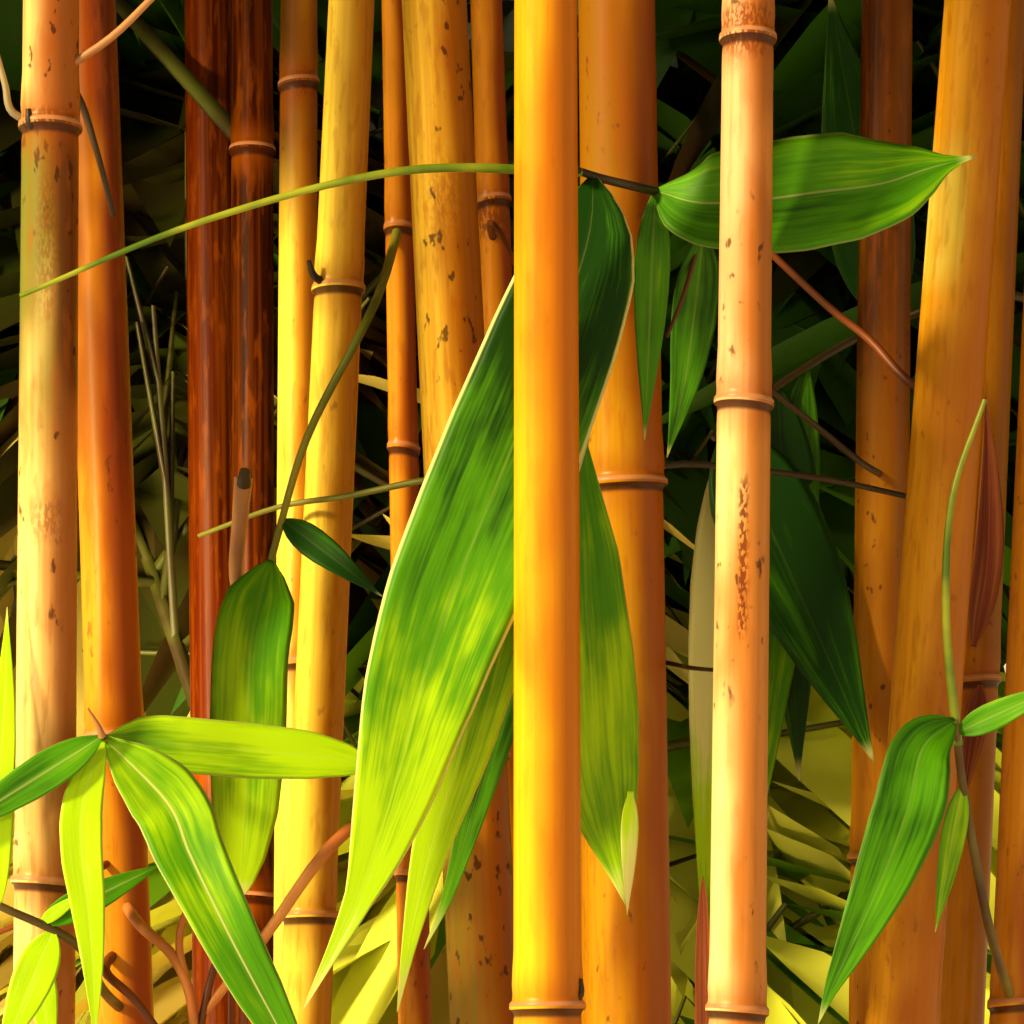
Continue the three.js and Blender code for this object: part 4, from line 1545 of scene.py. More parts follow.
    def mass(
        self,
        node_name: str,
        stem: Path,
        plan: Plan,
        random: Seeded,
        headings: Callable[[int], float],
        size: float,
    ) -> None:
        """One mass of foliage.

        Args:
            node_name: The CAD node that it stands for.
            stem: The path of its stem.
            plan: How much grows on it.
            random: What its twigs are drawn from.
            headings: The way each twig points.
            size: The size of its leaves.
        """
        low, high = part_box(node_name)
        around = Vector((plan.margin, plan.margin, self.margin))
        box = (low / MM - around - UP * plan.lift * self.fall, high / MM + around + UP * plan.lift)
        by_place, more = self.twig_seeds
        for i in range(plan.twigs):
            gap = (1 - plan.first_twig) / plan.twigs
            at = plan.first_twig + gap * (i + self.twig_scatter * random.draw())
            length = self.twig_length * size * random.within(*self.twig_lengths)
            length *= 1 - self.twig_shortening * at
            rise = self.twig_rise + random.scattered(self.twig_rises)
            heading = headings(i) + random.scattered(self.twig_turns)
            for _ in range(self.leaf_draws * plan.leaves):
                random.draw()
            own = Seeded(random.seed + by_place * i + more)
            self.twig(stem(at), (heading, rise), length, size, plan, own, box)
        finer = Seeded(self.finer_seed + random.seed)
        start = min(plan.first_twig, plan.finer_from)
        for i in range(plan.finer_twigs):
            at = start + (self.finer_end - start) * (i + finer.draw()) / plan.finer_twigs
            length = self.twig_length * size * finer.within(*self.finer_lengths)
            length *= 1 - self.twig_shortening * at
            rise = self.finer_rise + finer.scattered(self.finer_rises) + plan.lift * finer.draw()
            heading = headings(0) + i * GOLDEN_TURN + finer.scattered(self.finer_turns)
            self.twig(stem(at), (heading, rise), length, size, plan, finer, box)
        self.spray(stem, headings(0), plan.side_leaves + self.end_leaves, size, plan, finer, box)

    def grow_head(self, cane: Cane, number: int) -> None:
        """The head of leaves at the top of a cane.

        Args:
            cane: The cane.
            number: Its place in the list.
        """
        stem = chorded(lambda share: cane.at(cane.top + share * (cane.tip - cane.top)), self.head_steps)
        outward = math.degrees(math.atan2(cane.y, cane.x))
        tallest = max(CANES, key=lambda other: other.tip)
        size = self.head_size + self.head_growth * tallest.share_up(cane.tip)
        self.mass(
            f"head_{number:02d}",
            stem,
            self.head,
            Seeded(self.head_seed + number),
            lambda i: outward + i * GOLDEN_TURN,
            size,
        )

    def grow_branch(self, branch: Branch, number: int) -> None:
        """A leafy side branch.

        Args:
            branch: The branch.
            number: Its place in the list.
        """
        random = Seeded(self.branch_seed + number)
        cane = CANES[branch.cane - 1]
        ring = next(height for height in cane.rings() if height > branch.above)
        start = cane.at(ring)
        length = self.branch_length * random.within(*self.branch_lengths)
        ahead = towards(branch.heading, self.branch_rise) * length
        stem = chorded(lambda s: start + ahead * s - UP * self.branch_droop * s * s, self.branch_steps)
        stations = [stem(i / self.branch_steps) for i in range(self.branch_steps + 1)]
        self.limbs.append(Limb.tapering(stations, self.branch_radius, self.branch_radius * self.thinning))
        self.mass(
            f"branch_{number:02d}",
            stem,
            replace(self.branch, **branch.finer),
            random,
            lambda i: branch.heading + (self.branch_turn if i % 2 else -self.branch_turn),
            self.branch_size,
        )

    def build(self, wood: WoodTree) -> None:
        """Makes all the masses, the twigs as one piece and the leaves as one for each tone.

        Args:
            wood: What gives twigs their skin.
        """
        for number, branch in enumerate(BRANCHES, 1):
            self.grow_branch(branch, number)
        for number, cane in enumerate(CANES, 1):
            self.grow_head(cane, number)
        nodes = [f"branch_{i:02d}" for i in range(1, len(BRANCHES) + 1)]
        nodes += [f"head_{i:02d}" for i in range(1, len(CANES) + 1)]
        skin = BarkFinish("green_twig", "#565C1C", "#3A2E10").material()
        settle(wood.skinned("crown_twigs", self.limbs, skin, 4), "cane", *nodes)
        leaf_tree = LeafTree()
        for tone in Tone:
            leaves = [leaf for leaf in self.leaves if leaf.tone is tone]
            if leaves:
                piece = leaf_tree.hung("crown_" + tone.value.name, leaves, tone.value.material())
                settle(piece, "leaf", *nodes)


@dataclass(frozen=True)
class NearSpray:
    """A spray that hangs by itself in the bare stretch."""

    node_name: str
    cane: int
    start: float  # height on the cane's middle
    stem: tuple[Point, ...]
    blades: tuple[Blade, ...]
    roll: tuple[Point, ...]
    skin: BarkFinish


NEAR_SPRAYS = (
    NearSpray(
        "spray_front", 14, 768,
        ((50.4, -45, 760.3), (27.5, -87, 761.6), (16.8, -93, 763.6), (10, -99, 765.4)),
        (
            Blade(
                (16.1, -94, 763), (-38.7, -113, 607.8), 25.8, (-0.1, 1.35),
                ((14.7, -98, 753.3), (10.7, -102, 739.9), (-0.2, -107, 711.6), (-11.5, -110, 683.6),
                 (-17.6, -111, 665.1), (-22.4, -112, 646.6), (-28.1, -113, 629.1)),
                FRONT_OUTLINE, 0.16, 1.0, 0.1, 4, 3, 0.12,
            ),
            Blade(
                (15.4, -93, 763), (-21.5, -105, 606.4), 19, (0.3, 1.2),
                ((9.1, -97, 730.7), (1.5, -100, 702.3), (-3.8, -102, 679.7), (-9.2, -103, 657.2),
                 (-15.4, -104, 636.6), (-19.1, -105, 619.9)),
                PLAIN_OUTLINE, 0.3, 0.7, 0.1, 0, 2, 0.05,
            ),
            Blade(
                (16.6, -91, 763), (-16.7, -96, 617.1), 15, (0.0, 0.45),
                ((9.2, -92, 725.2), (3, -94, 692.8), (-2.3, -95, 664.3), (-8, -96, 641.6),
                 (-12.5, -96, 626.4)),
                PLAIN_OUTLINE, 0.15, 0.2, 0.1, 0, 2,
            ),
            Blade(
                (13.6, -93, 764), (22, -97, 625), 17, (0.4, 0.86),
                ((12.1, -88, 734.9), (12.7, -88, 711.9), (13.6, -89, 690.8), (14.5, -90, 675.5),
                 (15.3, -91, 664.1), (16, -92, 652.7), (17.9, -93, 641.4), (20.1, -95, 632)),
                LATE_OUTLINE, 0.1, 0.35, 0.08, 0, 2,
            ),
            Blade(
                (22.5, -95.5, 647), (21.8, -97.4, 623.8), 3.4, (1.3, 1.6), (), PLAIN_OUTLINE, 0, 1,
            ),
            Blade(
                (26, -87, 761.7), (88.8, -88, 768.2), 22.9, (0.44, 0.5),
                ((35.8, -92, 758.9), (47.2, -93, 759.4), (58.6, -93, 760.9), (70.2, -92, 762.5),
                 (79.9, -90, 765.7)),
                BROAD_OUTLINE, 0.35, 0.35, 0.12,
            ),
            Blade((29, -87, 761), (25.6, -83, 713.9), 7, (0.35, 0.4), (), PLAIN_OUTLINE, 0.2, 0.2),
        ),
        ((13, -96, 764.5), (-21, -103, 764), (-58.4, -105, 754.3), (-91.9, -107, 740.3)),
        BarkFinish("front_twig", "#3A2A0C", "#20180A"),
    ),
    NearSpray(
        "spray_right", 16, 599,
        ((94.5, -65, 617.3), (88.2, -77, 643.9), (85.5, -83, 659.8)),
        (
            Blade(
                (85.9, -83, 660), (57.5, -103, 603.9), 13.8, (0.3, 0.42),
                ((78.4, -89, 654.6), (75, -93, 643.3), (69.5, -98, 630.3), (63.3, -101, 617.4),
                 (59.8, -102, 610.1)),
                PLAIN_OUTLINE, 0.15, 0.2, 0.14, 0, 2,
            ),
            Blade((87.4, -79, 648), (82.6, -75, 618), 5, (0.5, 0.7), (), PLAIN_OUTLINE, 0.2, 0.2),
            Blade((86, -82, 657.5), (106, -91, 667.5), 5.5, (0.35, 0.5), (), PLAIN_OUTLINE, 0.2, 0.3),
        ),
        ((86.2, -81, 655), (83.7, -84, 679.2), (84.8, -84, 702.3), (91.4, -82, 721.7)),
        BarkFinish("right_twig", "#7A6A20", "#4A2C10"),
    ),
    NearSpray(
        "spray_left", 6, 655.5,
        ((-78.6, -82, 656), (-77.4, -99, 657.6)),
        (
            Blade(
                (-77.5, -97, 657), (-36, -109, 590), 14.2, (0.66, 0.42),
                ((-65.5, -96, 644.8), (-61, -100, 635.6), (-56, -104, 626.2), (-50, -107, 615.2)),
                LONG_OUTLINE, 0.55, 0.6, 0.22, 0, 2,
            ),
            Blade(
                (-77.9, -97, 657.4), (-77.8, -107, 600.2), 8.1, (0.95, 1.3),
                ((-80.9, -99, 645.6), (-80.9, -102, 636), (-79.6, -104, 626.6), (-78.4, -106, 615.3)),
                PLAIN_OUTLINE, 0.2, 0.5, 0.15, 0, 2,
            ),
            Blade((-77.2, -98, 657.4), (-110, -108, 637), 7.6, (0.35, 0.45), (), PLAIN_OUTLINE, 0.3, 0.3),
            Blade(
                (-78.6, -85, 656.2), (-26, -77, 650.4), 11, (0.75, 0.95),
                ((-62.2, -83, 654.8), (-48.8, -80, 653.5), (-35.4, -78, 652.2)),
                BLUNT_OUTLINE, 0.15, 0.5, 0.1,
            ),
        ),
        (),
        BarkFinish("left_twig", "#5A3A12", "#2A1A08"),
    ),
    NearSpray(
        "spray_inner", 11, 761.5,
        ((-27, -22, 748), (-31, -36, 737), (-42, -41, 714.8), (-49, -44, 690.2)),
        (
            Blade(
                (-48.6, -43.6, 692), (-54.4, -57, 622.5), 15.4, (0.5, 1.05),
                ((-52.4, -51, 674), (-53, -54, 656.5), (-53.5, -55.5, 639.8)),
                BLUNT_OUTLINE, 0.15, 0.2,
            ),
            Blade((-46.2, -42.7, 700), (-26.1, -53, 683), 6.5, (0.1, 0.15), (), PLAIN_OUTLINE, 0.1, 0.1),
        ),
        (),
        BarkFinish("inner_twig", "#8C8A26", "#5A6414"),
    ),
    NearSpray(
        "spray_low", 6, 601,
        ((-79, -84, 608), (-82.6, -98, 618.5), (-96.2, -104, 626.2)),
        (
            Blade((-86, -100.5, 621), (-95.9, -109, 597), 8, (0.95, 1.1), (), PLAIN_OUTLINE, 0.2, 0.5),
            Blade((-90.6, -95, 617), (-86.6, -99, 596), 6, (0.95, 1.2), (), PLAIN_OUTLINE, 0.2, 0.5),
            Blade((-87.5, -101, 622.5), (-66.3, -91, 633), 6, (0.35, 0.45), (), PLAIN_OUTLINE, 0.3, 0.2),
            Blade(
                (-87.5, -101, 622.5), (-80.6, -99, 628.4), 2.6, (1.0, 1.2), (), PLAIN_OUTLINE, 0.2, 0.5
            ),
            Blade(
                (-96.2, -104, 626.2), (-95.6, -97, 682), 6.5, (0.9, 1.1),
                ((-97, -102, 642), (-95.8, -99, 664)), PLAIN_OUTLINE, 0.2, 0.3,
            ),
        ),
        (),
        BarkFinish("low_twig", "#7A6A2A", "#4A3A14"),
    ),
    NearSpray(
        "spray_back", 18, 742,
        ((108, 22, 748), (84, 34, 742), (62, 26, 730), (44, 14, 716)),
        (
            Blade((46, 15, 718), (77.7, -1, 646.3), 24, (-0.05, 0.1), (), PLAIN_OUTLINE, 0.1, 0.1),
            # Painted light: a cream tone, as if sun shone through it, on a blade that stands in the
            # canes' shade.
            Blade((50, 18, 721), (42, 13, 600), 17, (2.6, 0.4), (), PLAIN_OUTLINE, 0.1, 0.1),
            Blade((60, 25, 729), (64, 30, 640), 16, (0.0, 0.1), (), PLAIN_OUTLINE, 0.1, 0.1),
            Blade((84, 34, 742), (70, 22, 815), 20, (-0.1, 0.0), (), PLAIN_OUTLINE, 0.1, 0.1),
            Blade((66, 28, 733), (50, 20, 610), 13, (0.3, 0.6), (), PLAIN_OUTLINE, 0.1, 0.1),
            Blade(
                (38, -60, 755.5), (31.4, -47, 711), 9.4, (0.2, 0.25), ((37, -53, 743), (34.8, -50, 726)),
                PLAIN_OUTLINE, 0.2, 0.1,
            ),
        ),
        (),
        BarkFinish("back_twig", "#4A3410", "#281C0A"),
    ),
)


@dataclass
class NearFoliage:
    """The sprays in the bare stretch, with every leaf a thin closed blade."""

    facing: Vector = field(default_factory=lambda: Vector((0.1, -1, 0.25)))
    rows: int = 44
    across: int = 13
    reach: float = 4.0  # how near its stem a leaf's foot is drawn onto it
    thickness: float = 0.4
    edge_thinning: float = 0.6  # share of that lost at the edge
    stalk: float = 0.55  # half the width of a leaf's stalk
    finest: float = 0.08  # half the width of its tip
    twist_from: float = 0.3  # share of its length where it isn't turned
    ripple: float = 0.05
    ripples: float = 2.3
    ripening: float = 1.3  # how late along a leaf its tone turns
    apart: float = 9.7  # between two leaves in the pattern of their veins
    curve_steps: int = 6  # between two places that a midrib or a stem passes
    stem_radius: float = 1.1
    stem_end: float = 0.7  # share of that
    roll_steps: int = 8
    roll_sides: int = 10
    roll_radius: float = 1.0
    roll_end: float = 0.45

    def blade(self, piece: Piece, blade: Blade, foot: Vector, number: int) -> None:
        """Adds one blade to a piece.

        Args:
            piece: The piece.
            blade: The blade.
            foot: Where it leaves its stem.
            number: What its ripple and its pattern start from.
        """
        line = [foot, *map(Vector, blade.through), Vector(blade.tip)]
        midrib = evenly(smooth(line, self.curve_steps), self.rows)
        length = (Vector(blade.tip) - foot).length
        shares, widths = zip(*blade.outline)
        top = np.linspace(-1, 1, self.across)
        around = np.concatenate([top, top[-2:0:-1]])
        above = np.concatenate([np.ones(self.across), -np.ones(self.across - 2)])
        sections, place, edge, fresh, trim = [], [], [], [], []
        for i, middle in enumerate(midrib):
            share = i / (self.rows - 1)
            ahead = midrib[min(i + 1, self.rows - 1)] - midrib[max(i - 1, 0)]
            side = ahead.cross(self.facing).normalized()
            over = side.cross(ahead).normalized()
            middle = middle + over * blade.sag * 4 * share * (1 - share)
            turn = math.radians(blade.twist) * (share - self.twist_from)
            across = side * math.cos(turn) + over * math.sin(turn)
            out = over * math.cos(turn) - side * math.sin(turn)
            stalk = self.stalk * (1 - share) + self.finest
            half = max(stalk, np.interp(share, shares, widths) * blade.width / 2)
            wave = math.sin(self.ripples * 2 * math.pi * share + number)
            lift = half * (blade.fold * np.abs(around) + self.ripple * wave * around**2)
            thin = 1 - self.edge_thinning * np.abs(around)
            lift += above * self.thickness / 2 * thin * min(1, half)
            sections.append(np.array(middle) + np.outer(around * half, across) + np.outer(lift, out))
            row = np.tile([0.0, share * length, number * self.apart], (len(around), 1))
            row[:, 0] = around * blade.width / 2
            place.append(row)
            edge.append(np.abs(around))
            tone = blade.fresh[0] + (blade.fresh[1] - blade.fresh[0]) * share**self.ripening
            fresh.append(tone - blade.slant * around * share)
            trim.append(np.tile([blade.rib, blade.margin, share], (len(around), 1)))
        points, faces = lofted(np.array(sections))
        piece.add(
            points,
            faces,
            blade=np.vstack([*place, place[0][:1], place[-1][:1]]),
            edge=np.concatenate([*edge, [0.0, 0.0]]),
            fresh=np.concatenate([*fresh, [blade.fresh[0], blade.fresh[1]]]),
            trim=np.vstack([*trim, trim[0][:1], trim[-1][:1]]),
        )

    def build(self, wood: WoodTree) -> None:
        """Makes all the sprays.

        Args:
            wood: What gives stems their skin.
        """
        leaf = BladeFinish().material()
        green = BarkFinish("rolled_leaf", "#9CA828", "#4F7010", 14.0, 0.4).material()
        rolls = []
        for number, spray in enumerate(NEAR_SPRAYS):
            start = CANES[spray.cane - 1].at(spray.start)
            line = smooth([start, *map(Vector, spray.stem)], self.curve_steps)
            stem = Limb.tapering(line, self.stem_radius, self.stem_radius * self.stem_end)
            piece = wood.skinned(spray.node_name + "_stem", [stem], spray.skin.material())
            settle(piece, "cane", spray.node_name)
            leaves = Piece(spray.node_name + "_leaves")
            for i, blade in enumerate(spray.blades):
                foot = Vector(blade.foot)
                nearest = min(line, key=lambda point: (point - foot).length)
                near = (nearest - foot).length < self.reach
                self.blade(leaves, blade, nearest if near else foot, number * 10 + i)
            settle(leaves.made(leaf), "leaf", spray.node_name)
            if spray.roll:
                foot = min(line, key=lambda point: (point - Vector(spray.roll[0])).length)
                rolled = smooth([foot, *map(Vector, spray.roll[1:])], self.roll_steps)
                rolls.append(Limb.tapering(rolled, self.roll_radius, self.roll_radius * self.roll_end))
        rolled_leaves = wood.skinned("rolled_leaves", rolls, green, self.roll_sides)
        settle(rolled_leaves, "leaf", "spray_front", "spray_right")


@dataclass(frozen=True)
class SheathFinish(Finish):
    """Dry culm sheath: the papery husk that a new cane sheds, brittle, matt and finely ribbed
    along its length, rust to straw."""

    name: str = "dry_sheath"
    rust: str = "#6A2006"
    straw: str = "#AA6630"
    rib_gap: float = 0.5
    rib_length: float = 30.0

    def surface(self, tree: bpy.types.NodeTree) -> Inputs:
        """What the shader gets, from the marks that a sheath's points carry.

        Args:
            tree: The material's tree.

        Returns:
            Values, sockets and nodes for the shader's sockets.
        """
        place = node(tree, ATTRIBUTE, attribute_name="blade").outputs["Vector"]
        edge = node(tree, ATTRIBUTE, attribute_name="edge").outputs["Fac"]
        spot = node(tree, MAPPING, {0: place, 3: (1 / self.rib_gap, 1 / self.rib_length, 1.0)})
        ribs = node(tree, NOISE, {"Vector": spot, "Scale": 1.0, "Detail": 3.0})
        pale = node(tree, RANGE, {0: edge, 1: 0.6, 2: 1.0, 4: 0.35})
        share = node(tree, RANGE, {0: ribs, 1: 0.4, 2: 0.7, 4: 0.6})
        both = node(tree, MATH, {0: share, 1: pale}, operation="ADD")
        return {
            "Base Color": self.layered(tree, self.rust, (both, 0.0, 1.0, 1.0, self.straw)),
            "Normal": node(tree, BUMP, {"Strength": 0.4, "Distance": 0.15 * MM, "Height": ribs}),
            "Roughness": 0.75,
        }


class Skin(Enum):
    """The skins of the thin twigs between the canes."""

    TAN = BarkFinish("tan_twig", "#C48A5C", "#8C5A34")
    GREY = BarkFinish("grey_twig", "#A89A7C", "#6A5A40")
    DARK = BarkFinish("dark_twig", "#3E2A10", "#1E1206")
    ORANGE = BarkFinish("orange_twig", "#E09A54", "#B8682C")
    RUST = BarkFinish("rust_twig", "#8A4414", "#52240A")
    GREEN = BarkFinish("olive_twig", "#8A8A2A", "#5C6216")


@dataclass(frozen=True)
class Twiglet:
    """A thin bare twig: the cane and the height that it starts at, or a place on another twig,
    and the places that it passes."""

    skin: Skin
    start: tuple[int, float] | Point
    through: tuple[Point, ...]
    thick: float
    thin: float
    steps: int = 5  # between two places that it passes

    def limb(self) -> Limb:
        """The twig as a limb.

        Returns:
            The limb, from its cane's middle or from its place.
        """
        on_cane = len(self.start) == 2
        first = CANES[self.start[0] - 1].at(self.start[1]) if on_cane else Vector(self.start)
        line = smooth([first, *map(Vector, self.through)], self.steps)
        return Limb.tapering(line, self.thick, self.thin)


TWIGLETS = (
    Twiglet(Skin.TAN, (5, 783), ((-76.4, -94, 790.1), (-67.4, -93, 799), (-60, -92, 806)), 0.9, 0.55),
    Twiglet(Skin.GREY, (5, 773.5), ((-95, -93, 776), (-96.5, -93, 781.3), (-98, -93, 787)), 0.9, 0.5),
    Twiglet(
        Skin.DARK, (5, 782), ((-84.3, -80, 780.8), (-80.7, -79, 770.3), (-77.4, -78, 757.5)), 0.9, 0.5
    ),
    Twiglet(Skin.ORANGE, (4, 646), ((-31.8, -70, 637.9), (-48.9, -73, 616.2), (-62, -76, 600)), 1.5, 0.9),
    Twiglet(
        Skin.ORANGE, (6, 624),
        ((-72.6, -75, 619.4), (-66.2, -77, 613.8), (-62.7, -77, 606), (-61.5, -77, 594)), 1.2, 0.9,
    ),
    Twiglet(Skin.RUST, (6, 614), ((-79.4, -75, 610.6), (-73.4, -77, 605), (-66, -77, 595)), 1.1, 0.8),
    Twiglet(
        Skin.ORANGE, (-62.7, -77, 606), ((-64.8, -77, 616), (-63, -76, 624), (-60.9, -75, 631)), 0.9, 0.5
    ),
    Twiglet(
        Skin.RUST, (-61.5, -77, 596), ((-59, -75, 608), (-56.5, -74, 617), (-55.2, -73, 626)), 0.9, 0.5
    ),
    Twiglet(Skin.RUST, (6, 632), ((-84, -80, 628), (-91, -84, 622.5), (-99, -86, 619)), 0.8, 0.5),
    Twiglet(
        Skin.RUST, (15, 722),
        ((84.5, -24, 726), (75.3, -17, 736.2), (67.1, -15, 743), (55.7, -15, 753.6), (49, -15, 760)),
        1.0, 0.7,
    ),
    Twiglet(
        Skin.DARK, (14, 708),
        ((72.5, -20, 710.9), (62.3, -35, 717.9), (53, -45, 724.4), (46, -50, 731)), 0.8, 0.5,
    ),
    Twiglet(
        Skin.DARK, (3, 708), ((34, -55, 709.6), (46.3, -45, 708.9), (65.4, -35, 706.6), (84, -20, 703)),
        0.7, 0.6,
    ),
    Twiglet(Skin.DARK, (3, 671), ((30.1, -67, 670.3), (34.7, -75, 669.6), (38.4, -90, 669.8)), 0.55, 0.4),
    Twiglet(
        Skin.GREEN, (4, 707),
        ((-19.4, -40, 706.2), (-33.7, -36, 703.3), (-48.5, -30, 701), (-66, -15, 695)), 0.8, 0.5,
    ),
    Twiglet(
        Skin.TAN, (-54, -43, 678), ((-56.2, -43, 687), (-55.4, -43, 698), (-54.6, -44, 707)), 1.2, 1.9
    ),
    Twiglet(Skin.DARK, (-54.4, -45, 705.5), ((-54.2, -46.4, 707.2), (-54, -47, 708.6)), 1.5, 1.1),
    Twiglet(Skin.RUST, (12, 757), ((-4.5, -28, 760), (-2, -34, 757), (0.5, -38, 751)), 0.9, 0.5),
    Twiglet(
        Skin.RUST, (2, 752), ((40.5, -80, 756), (38, -60, 755.5), (34.5, -57, 744), (31, -56, 735)),
        0.7, 0.4,
    ),
    Twiglet(Skin.DARK, (1, 609), ((12.3, -115.8, 610.5), (12.7, -116.2, 614)), 1.0, 0.4),
    Twiglet(Skin.DARK, (5, 772.8), ((-91.2, -95.4, 773.4), (-91.8, -95.8, 776.5)), 1.2, 0.5),
    Twiglet(Skin.DARK, (10, 747), ((-40.6, -30, 748.5), (-42, -31.5, 752)), 1.2, 0.5),
    Twiglet(Skin.TAN, (-77.4, -99, 657.6), ((-78, -100, 659.6), (-80, -100, 663)), 0.8, 0.2),
)

SHEATHS = (
    Blade((35.6, -103, 592), (35.9, -102.5, 631.5), 3.0, (0, 0), (), BLUNT_OUTLINE, fold=0.3),
    Blade(
        (96, -26, 672), (97.4, -35, 724), 6.5, (0, 0), ((98.4, -29, 690), (98.6, -31, 707)),
        PLAIN_OUTLINE, fold=0.4,
    ),
    Blade((97.5, -25, 664), (93, -33, 640), 5.0, (0, 0), (), PLAIN_OUTLINE, fold=0.4),
)


@dataclass
class DryThings:
    """The bare twigs, stubs and buds between the canes, and the husks that still cling to them."""

    def build(self, wood: WoodTree, foliage: NearFoliage) -> None:
        """Makes them, each skin a piece of its own.

        Args:
            wood: What gives twigs their skin.
            foliage: What shapes a husk as it does a leaf.
        """
        for skin in Skin:
            limbs = [twiglet.limb() for twiglet in TWIGLETS if twiglet.skin is skin]
            settle(wood.skinned(skin.value.name + "s", limbs, skin.value.material()), "cane")
        husks = Piece("dry_sheaths")
        for number, sheath in enumerate(SHEATHS):
            foliage.blade(husks, sheath, Vector(sheath.foot), number)
        settle(husks.made(SheathFinish().material()), "cane")


@dataclass(frozen=True)
class TerracottaFinish(Finish):
    """Terracotta: red clay, thrown, dried and fired without glaze, so it is matt and open-pored,
    with faint turning lines and a pale bloom of salts where water has dried."""

    name: str = "fired_terracotta"
    clay: str = "#B4643C"
    deep: str = "#93492A"
    bloom: str = "#D8AC92"
    grain: float = 1.6
    turning: float = 3.8  # mm from one turning line to the next
    cloud: float = 70.0
    bloom_top: float = 160.0  # height below which the salts show
    bloom_full: float = 10.0

    def surface(self, tree: bpy.types.NodeTree) -> Inputs:
        """What the shader gets, in the pot's own space.

        Args:
            tree: The material's tree.

        Returns:
            Values, sockets and nodes for the shader's sockets.
        """
        place = node(tree, SPACE).outputs["Object"]
        height = node(tree, APART, {0: place}).outputs["Z"]
        level = node(tree, TOGETHER, {"Z": height})
        patterns = (place, self.cloud, 5.0), (place, self.grain, 2.0), (level, self.turning, 2.0)
        cloud, grain, rings = (
            node(tree, NOISE, {"Vector": spot, "Scale": METRE / size, "Detail": detail})
            for spot, size, detail in patterns
        )
        low = node(tree, RANGE, {0: height, 1: self.bloom_top * MM, 2: self.bloom_full * MM})
        salts = node(tree, RANGE, {0: cloud, 1: 0.45, 2: 0.62, 3: 0.05, 4: 0.75})
        bloom = node(tree, MATH, {0: low, 1: salts}, operation="MULTIPLY")
        both = node(tree, MATH, {0: rings, 1: grain}, operation="ADD")
        layers = (cloud, 0.35, 0.65, 1.0, self.deep), (bloom, 0.0, 1.0, 1.0, self.bloom)
        return {
            "Base Color": self.layered(tree, self.clay, *layers),
            "Roughness": node(tree, RANGE, {0: grain, 1: 0.3, 2: 0.7, 3: 0.78, 4: 0.95}),
            "Normal": node(tree, BUMP, {"Strength": 0.5, "Distance": 0.5 * MM, "Height": both}),
        }


@dataclass
class Pot:
    """A plain tapering pot with an upright rim on a flat foot."""

    height: float = 340.0
    foot: float = 140.0
    shoulder: float = 186.0
    rim: float = 203.0
    rim_height: float = 46.0
    rim_slope: float = 6.0
    wall: float = 15.0
    floor: float = 20.0
    segments: int = 128
    soft_steps: int = 5  # stretches of a rounded corner
    middle: float = 0.5  # radius at which the skin closes on the axis

    def inside(self, height: float) -> float:
        """The radius of its inside at a height."""
        share = (height - self.floor) / (self.height - self.floor)
        return self.foot - self.wall + share * (self.shoulder - self.foot)

    def corners(self) -> list[Point]:
        """The corners of its profile.

        Returns:
            Radius, height and how far it is rounded, for each from the foot out and back.
        """
        shoulder = self.height - self.rim_height
        return [
            (self.foot, 0, 3),
            (self.shoulder - 1, shoulder - 2, 3),
            (self.rim, shoulder + self.rim_slope, 4),
            (self.rim, self.height, 8),
            (self.inside(self.height), self.height, 5),
            (self.inside(self.floor), self.floor, 10),
        ]

    def build(self) -> None:
        """Makes the pot."""
        ends = (self.middle, 0, 0), (self.middle, self.floor, 0)
        profile = rounded([ends[0], *self.corners(), ends[1]], self.soft_steps)
        piece = Piece("terracotta_pot")
        piece.add(*revolved(profile, self.segments))
        settle(piece.made(TerracottaFinish().material()), "terracotta", "pot")


def rounded(corners: list[Point], steps: int) -> list[tuple[float, float]]:
    """A profile with its corners rounded.

    Args:
        corners: Radius, height and rounding of each corner.
        steps: How many stretches a rounding gets.

    Returns:
        The points of the profile.
    """
    profile: list[tuple[float, float]] = []
    for i, (x, z, soft) in enumerate(corners):
        if not soft:
            profile.append((x, z))
            continue
        here = Vector((x, z))
        before = (Vector(corners[i - 1][:2]) - here).normalized() * soft
        after = (Vector(corners[i + 1][:2]) - here).normalized() * soft
        for step in range(steps + 1):
            t = step / steps
            point = here + before * (1 - t) ** 2 + after * t**2
            profile.append((point.x, point.y))
    return profile


def revolved(profile: list[tuple[float, float]], segments: int) -> tuple[np.ndarray, Faces]:
    """A closed body turned about the upright middle.

    Args:
        profile: Radius and height of its points, from the axis out and back.
        segments: How many flat sides it has round.

    Returns:
        Its points and faces.
    """
    turns = np.linspace(0, 2 * math.pi, segments, endpoint=False)
    sections = np.array([[(r * math.cos(t), r * math.sin(t), z) for t in turns] for r, z in profile])
    return lofted(sections)


@dataclass(frozen=True)
class SoilFinish(Finish):
    """Potting soil: dark peat with fine bark, damp in its hollows and dusty on its crumbs."""

    name: str = "potting_soil"
    peat: str = "#33241A"
    dust: str = "#5A4432"
    crumb: float = 4.0

    def surface(self, tree: bpy.types.NodeTree) -> Inputs:
        """What the shader gets, in the soil's own space.

        Args:
            tree: The material's tree.

        Returns:
            Values, sockets and nodes for the shader's sockets.
        """
        place = node(tree, SPACE).outputs["Object"]
        crumbs = node(tree, NOISE, {"Vector": place, "Scale": METRE / self.crumb, "Detail": 4.0})
        return {
            "Base Color": self.layered(tree, self.peat, (crumbs, 0.4, 0.65, 1.0, self.dust)),
            "Normal": node(tree, BUMP, {"Strength": 0.8, "Distance": 2 * MM, "Height": crumbs}),
            "Roughness": 0.95,
        }


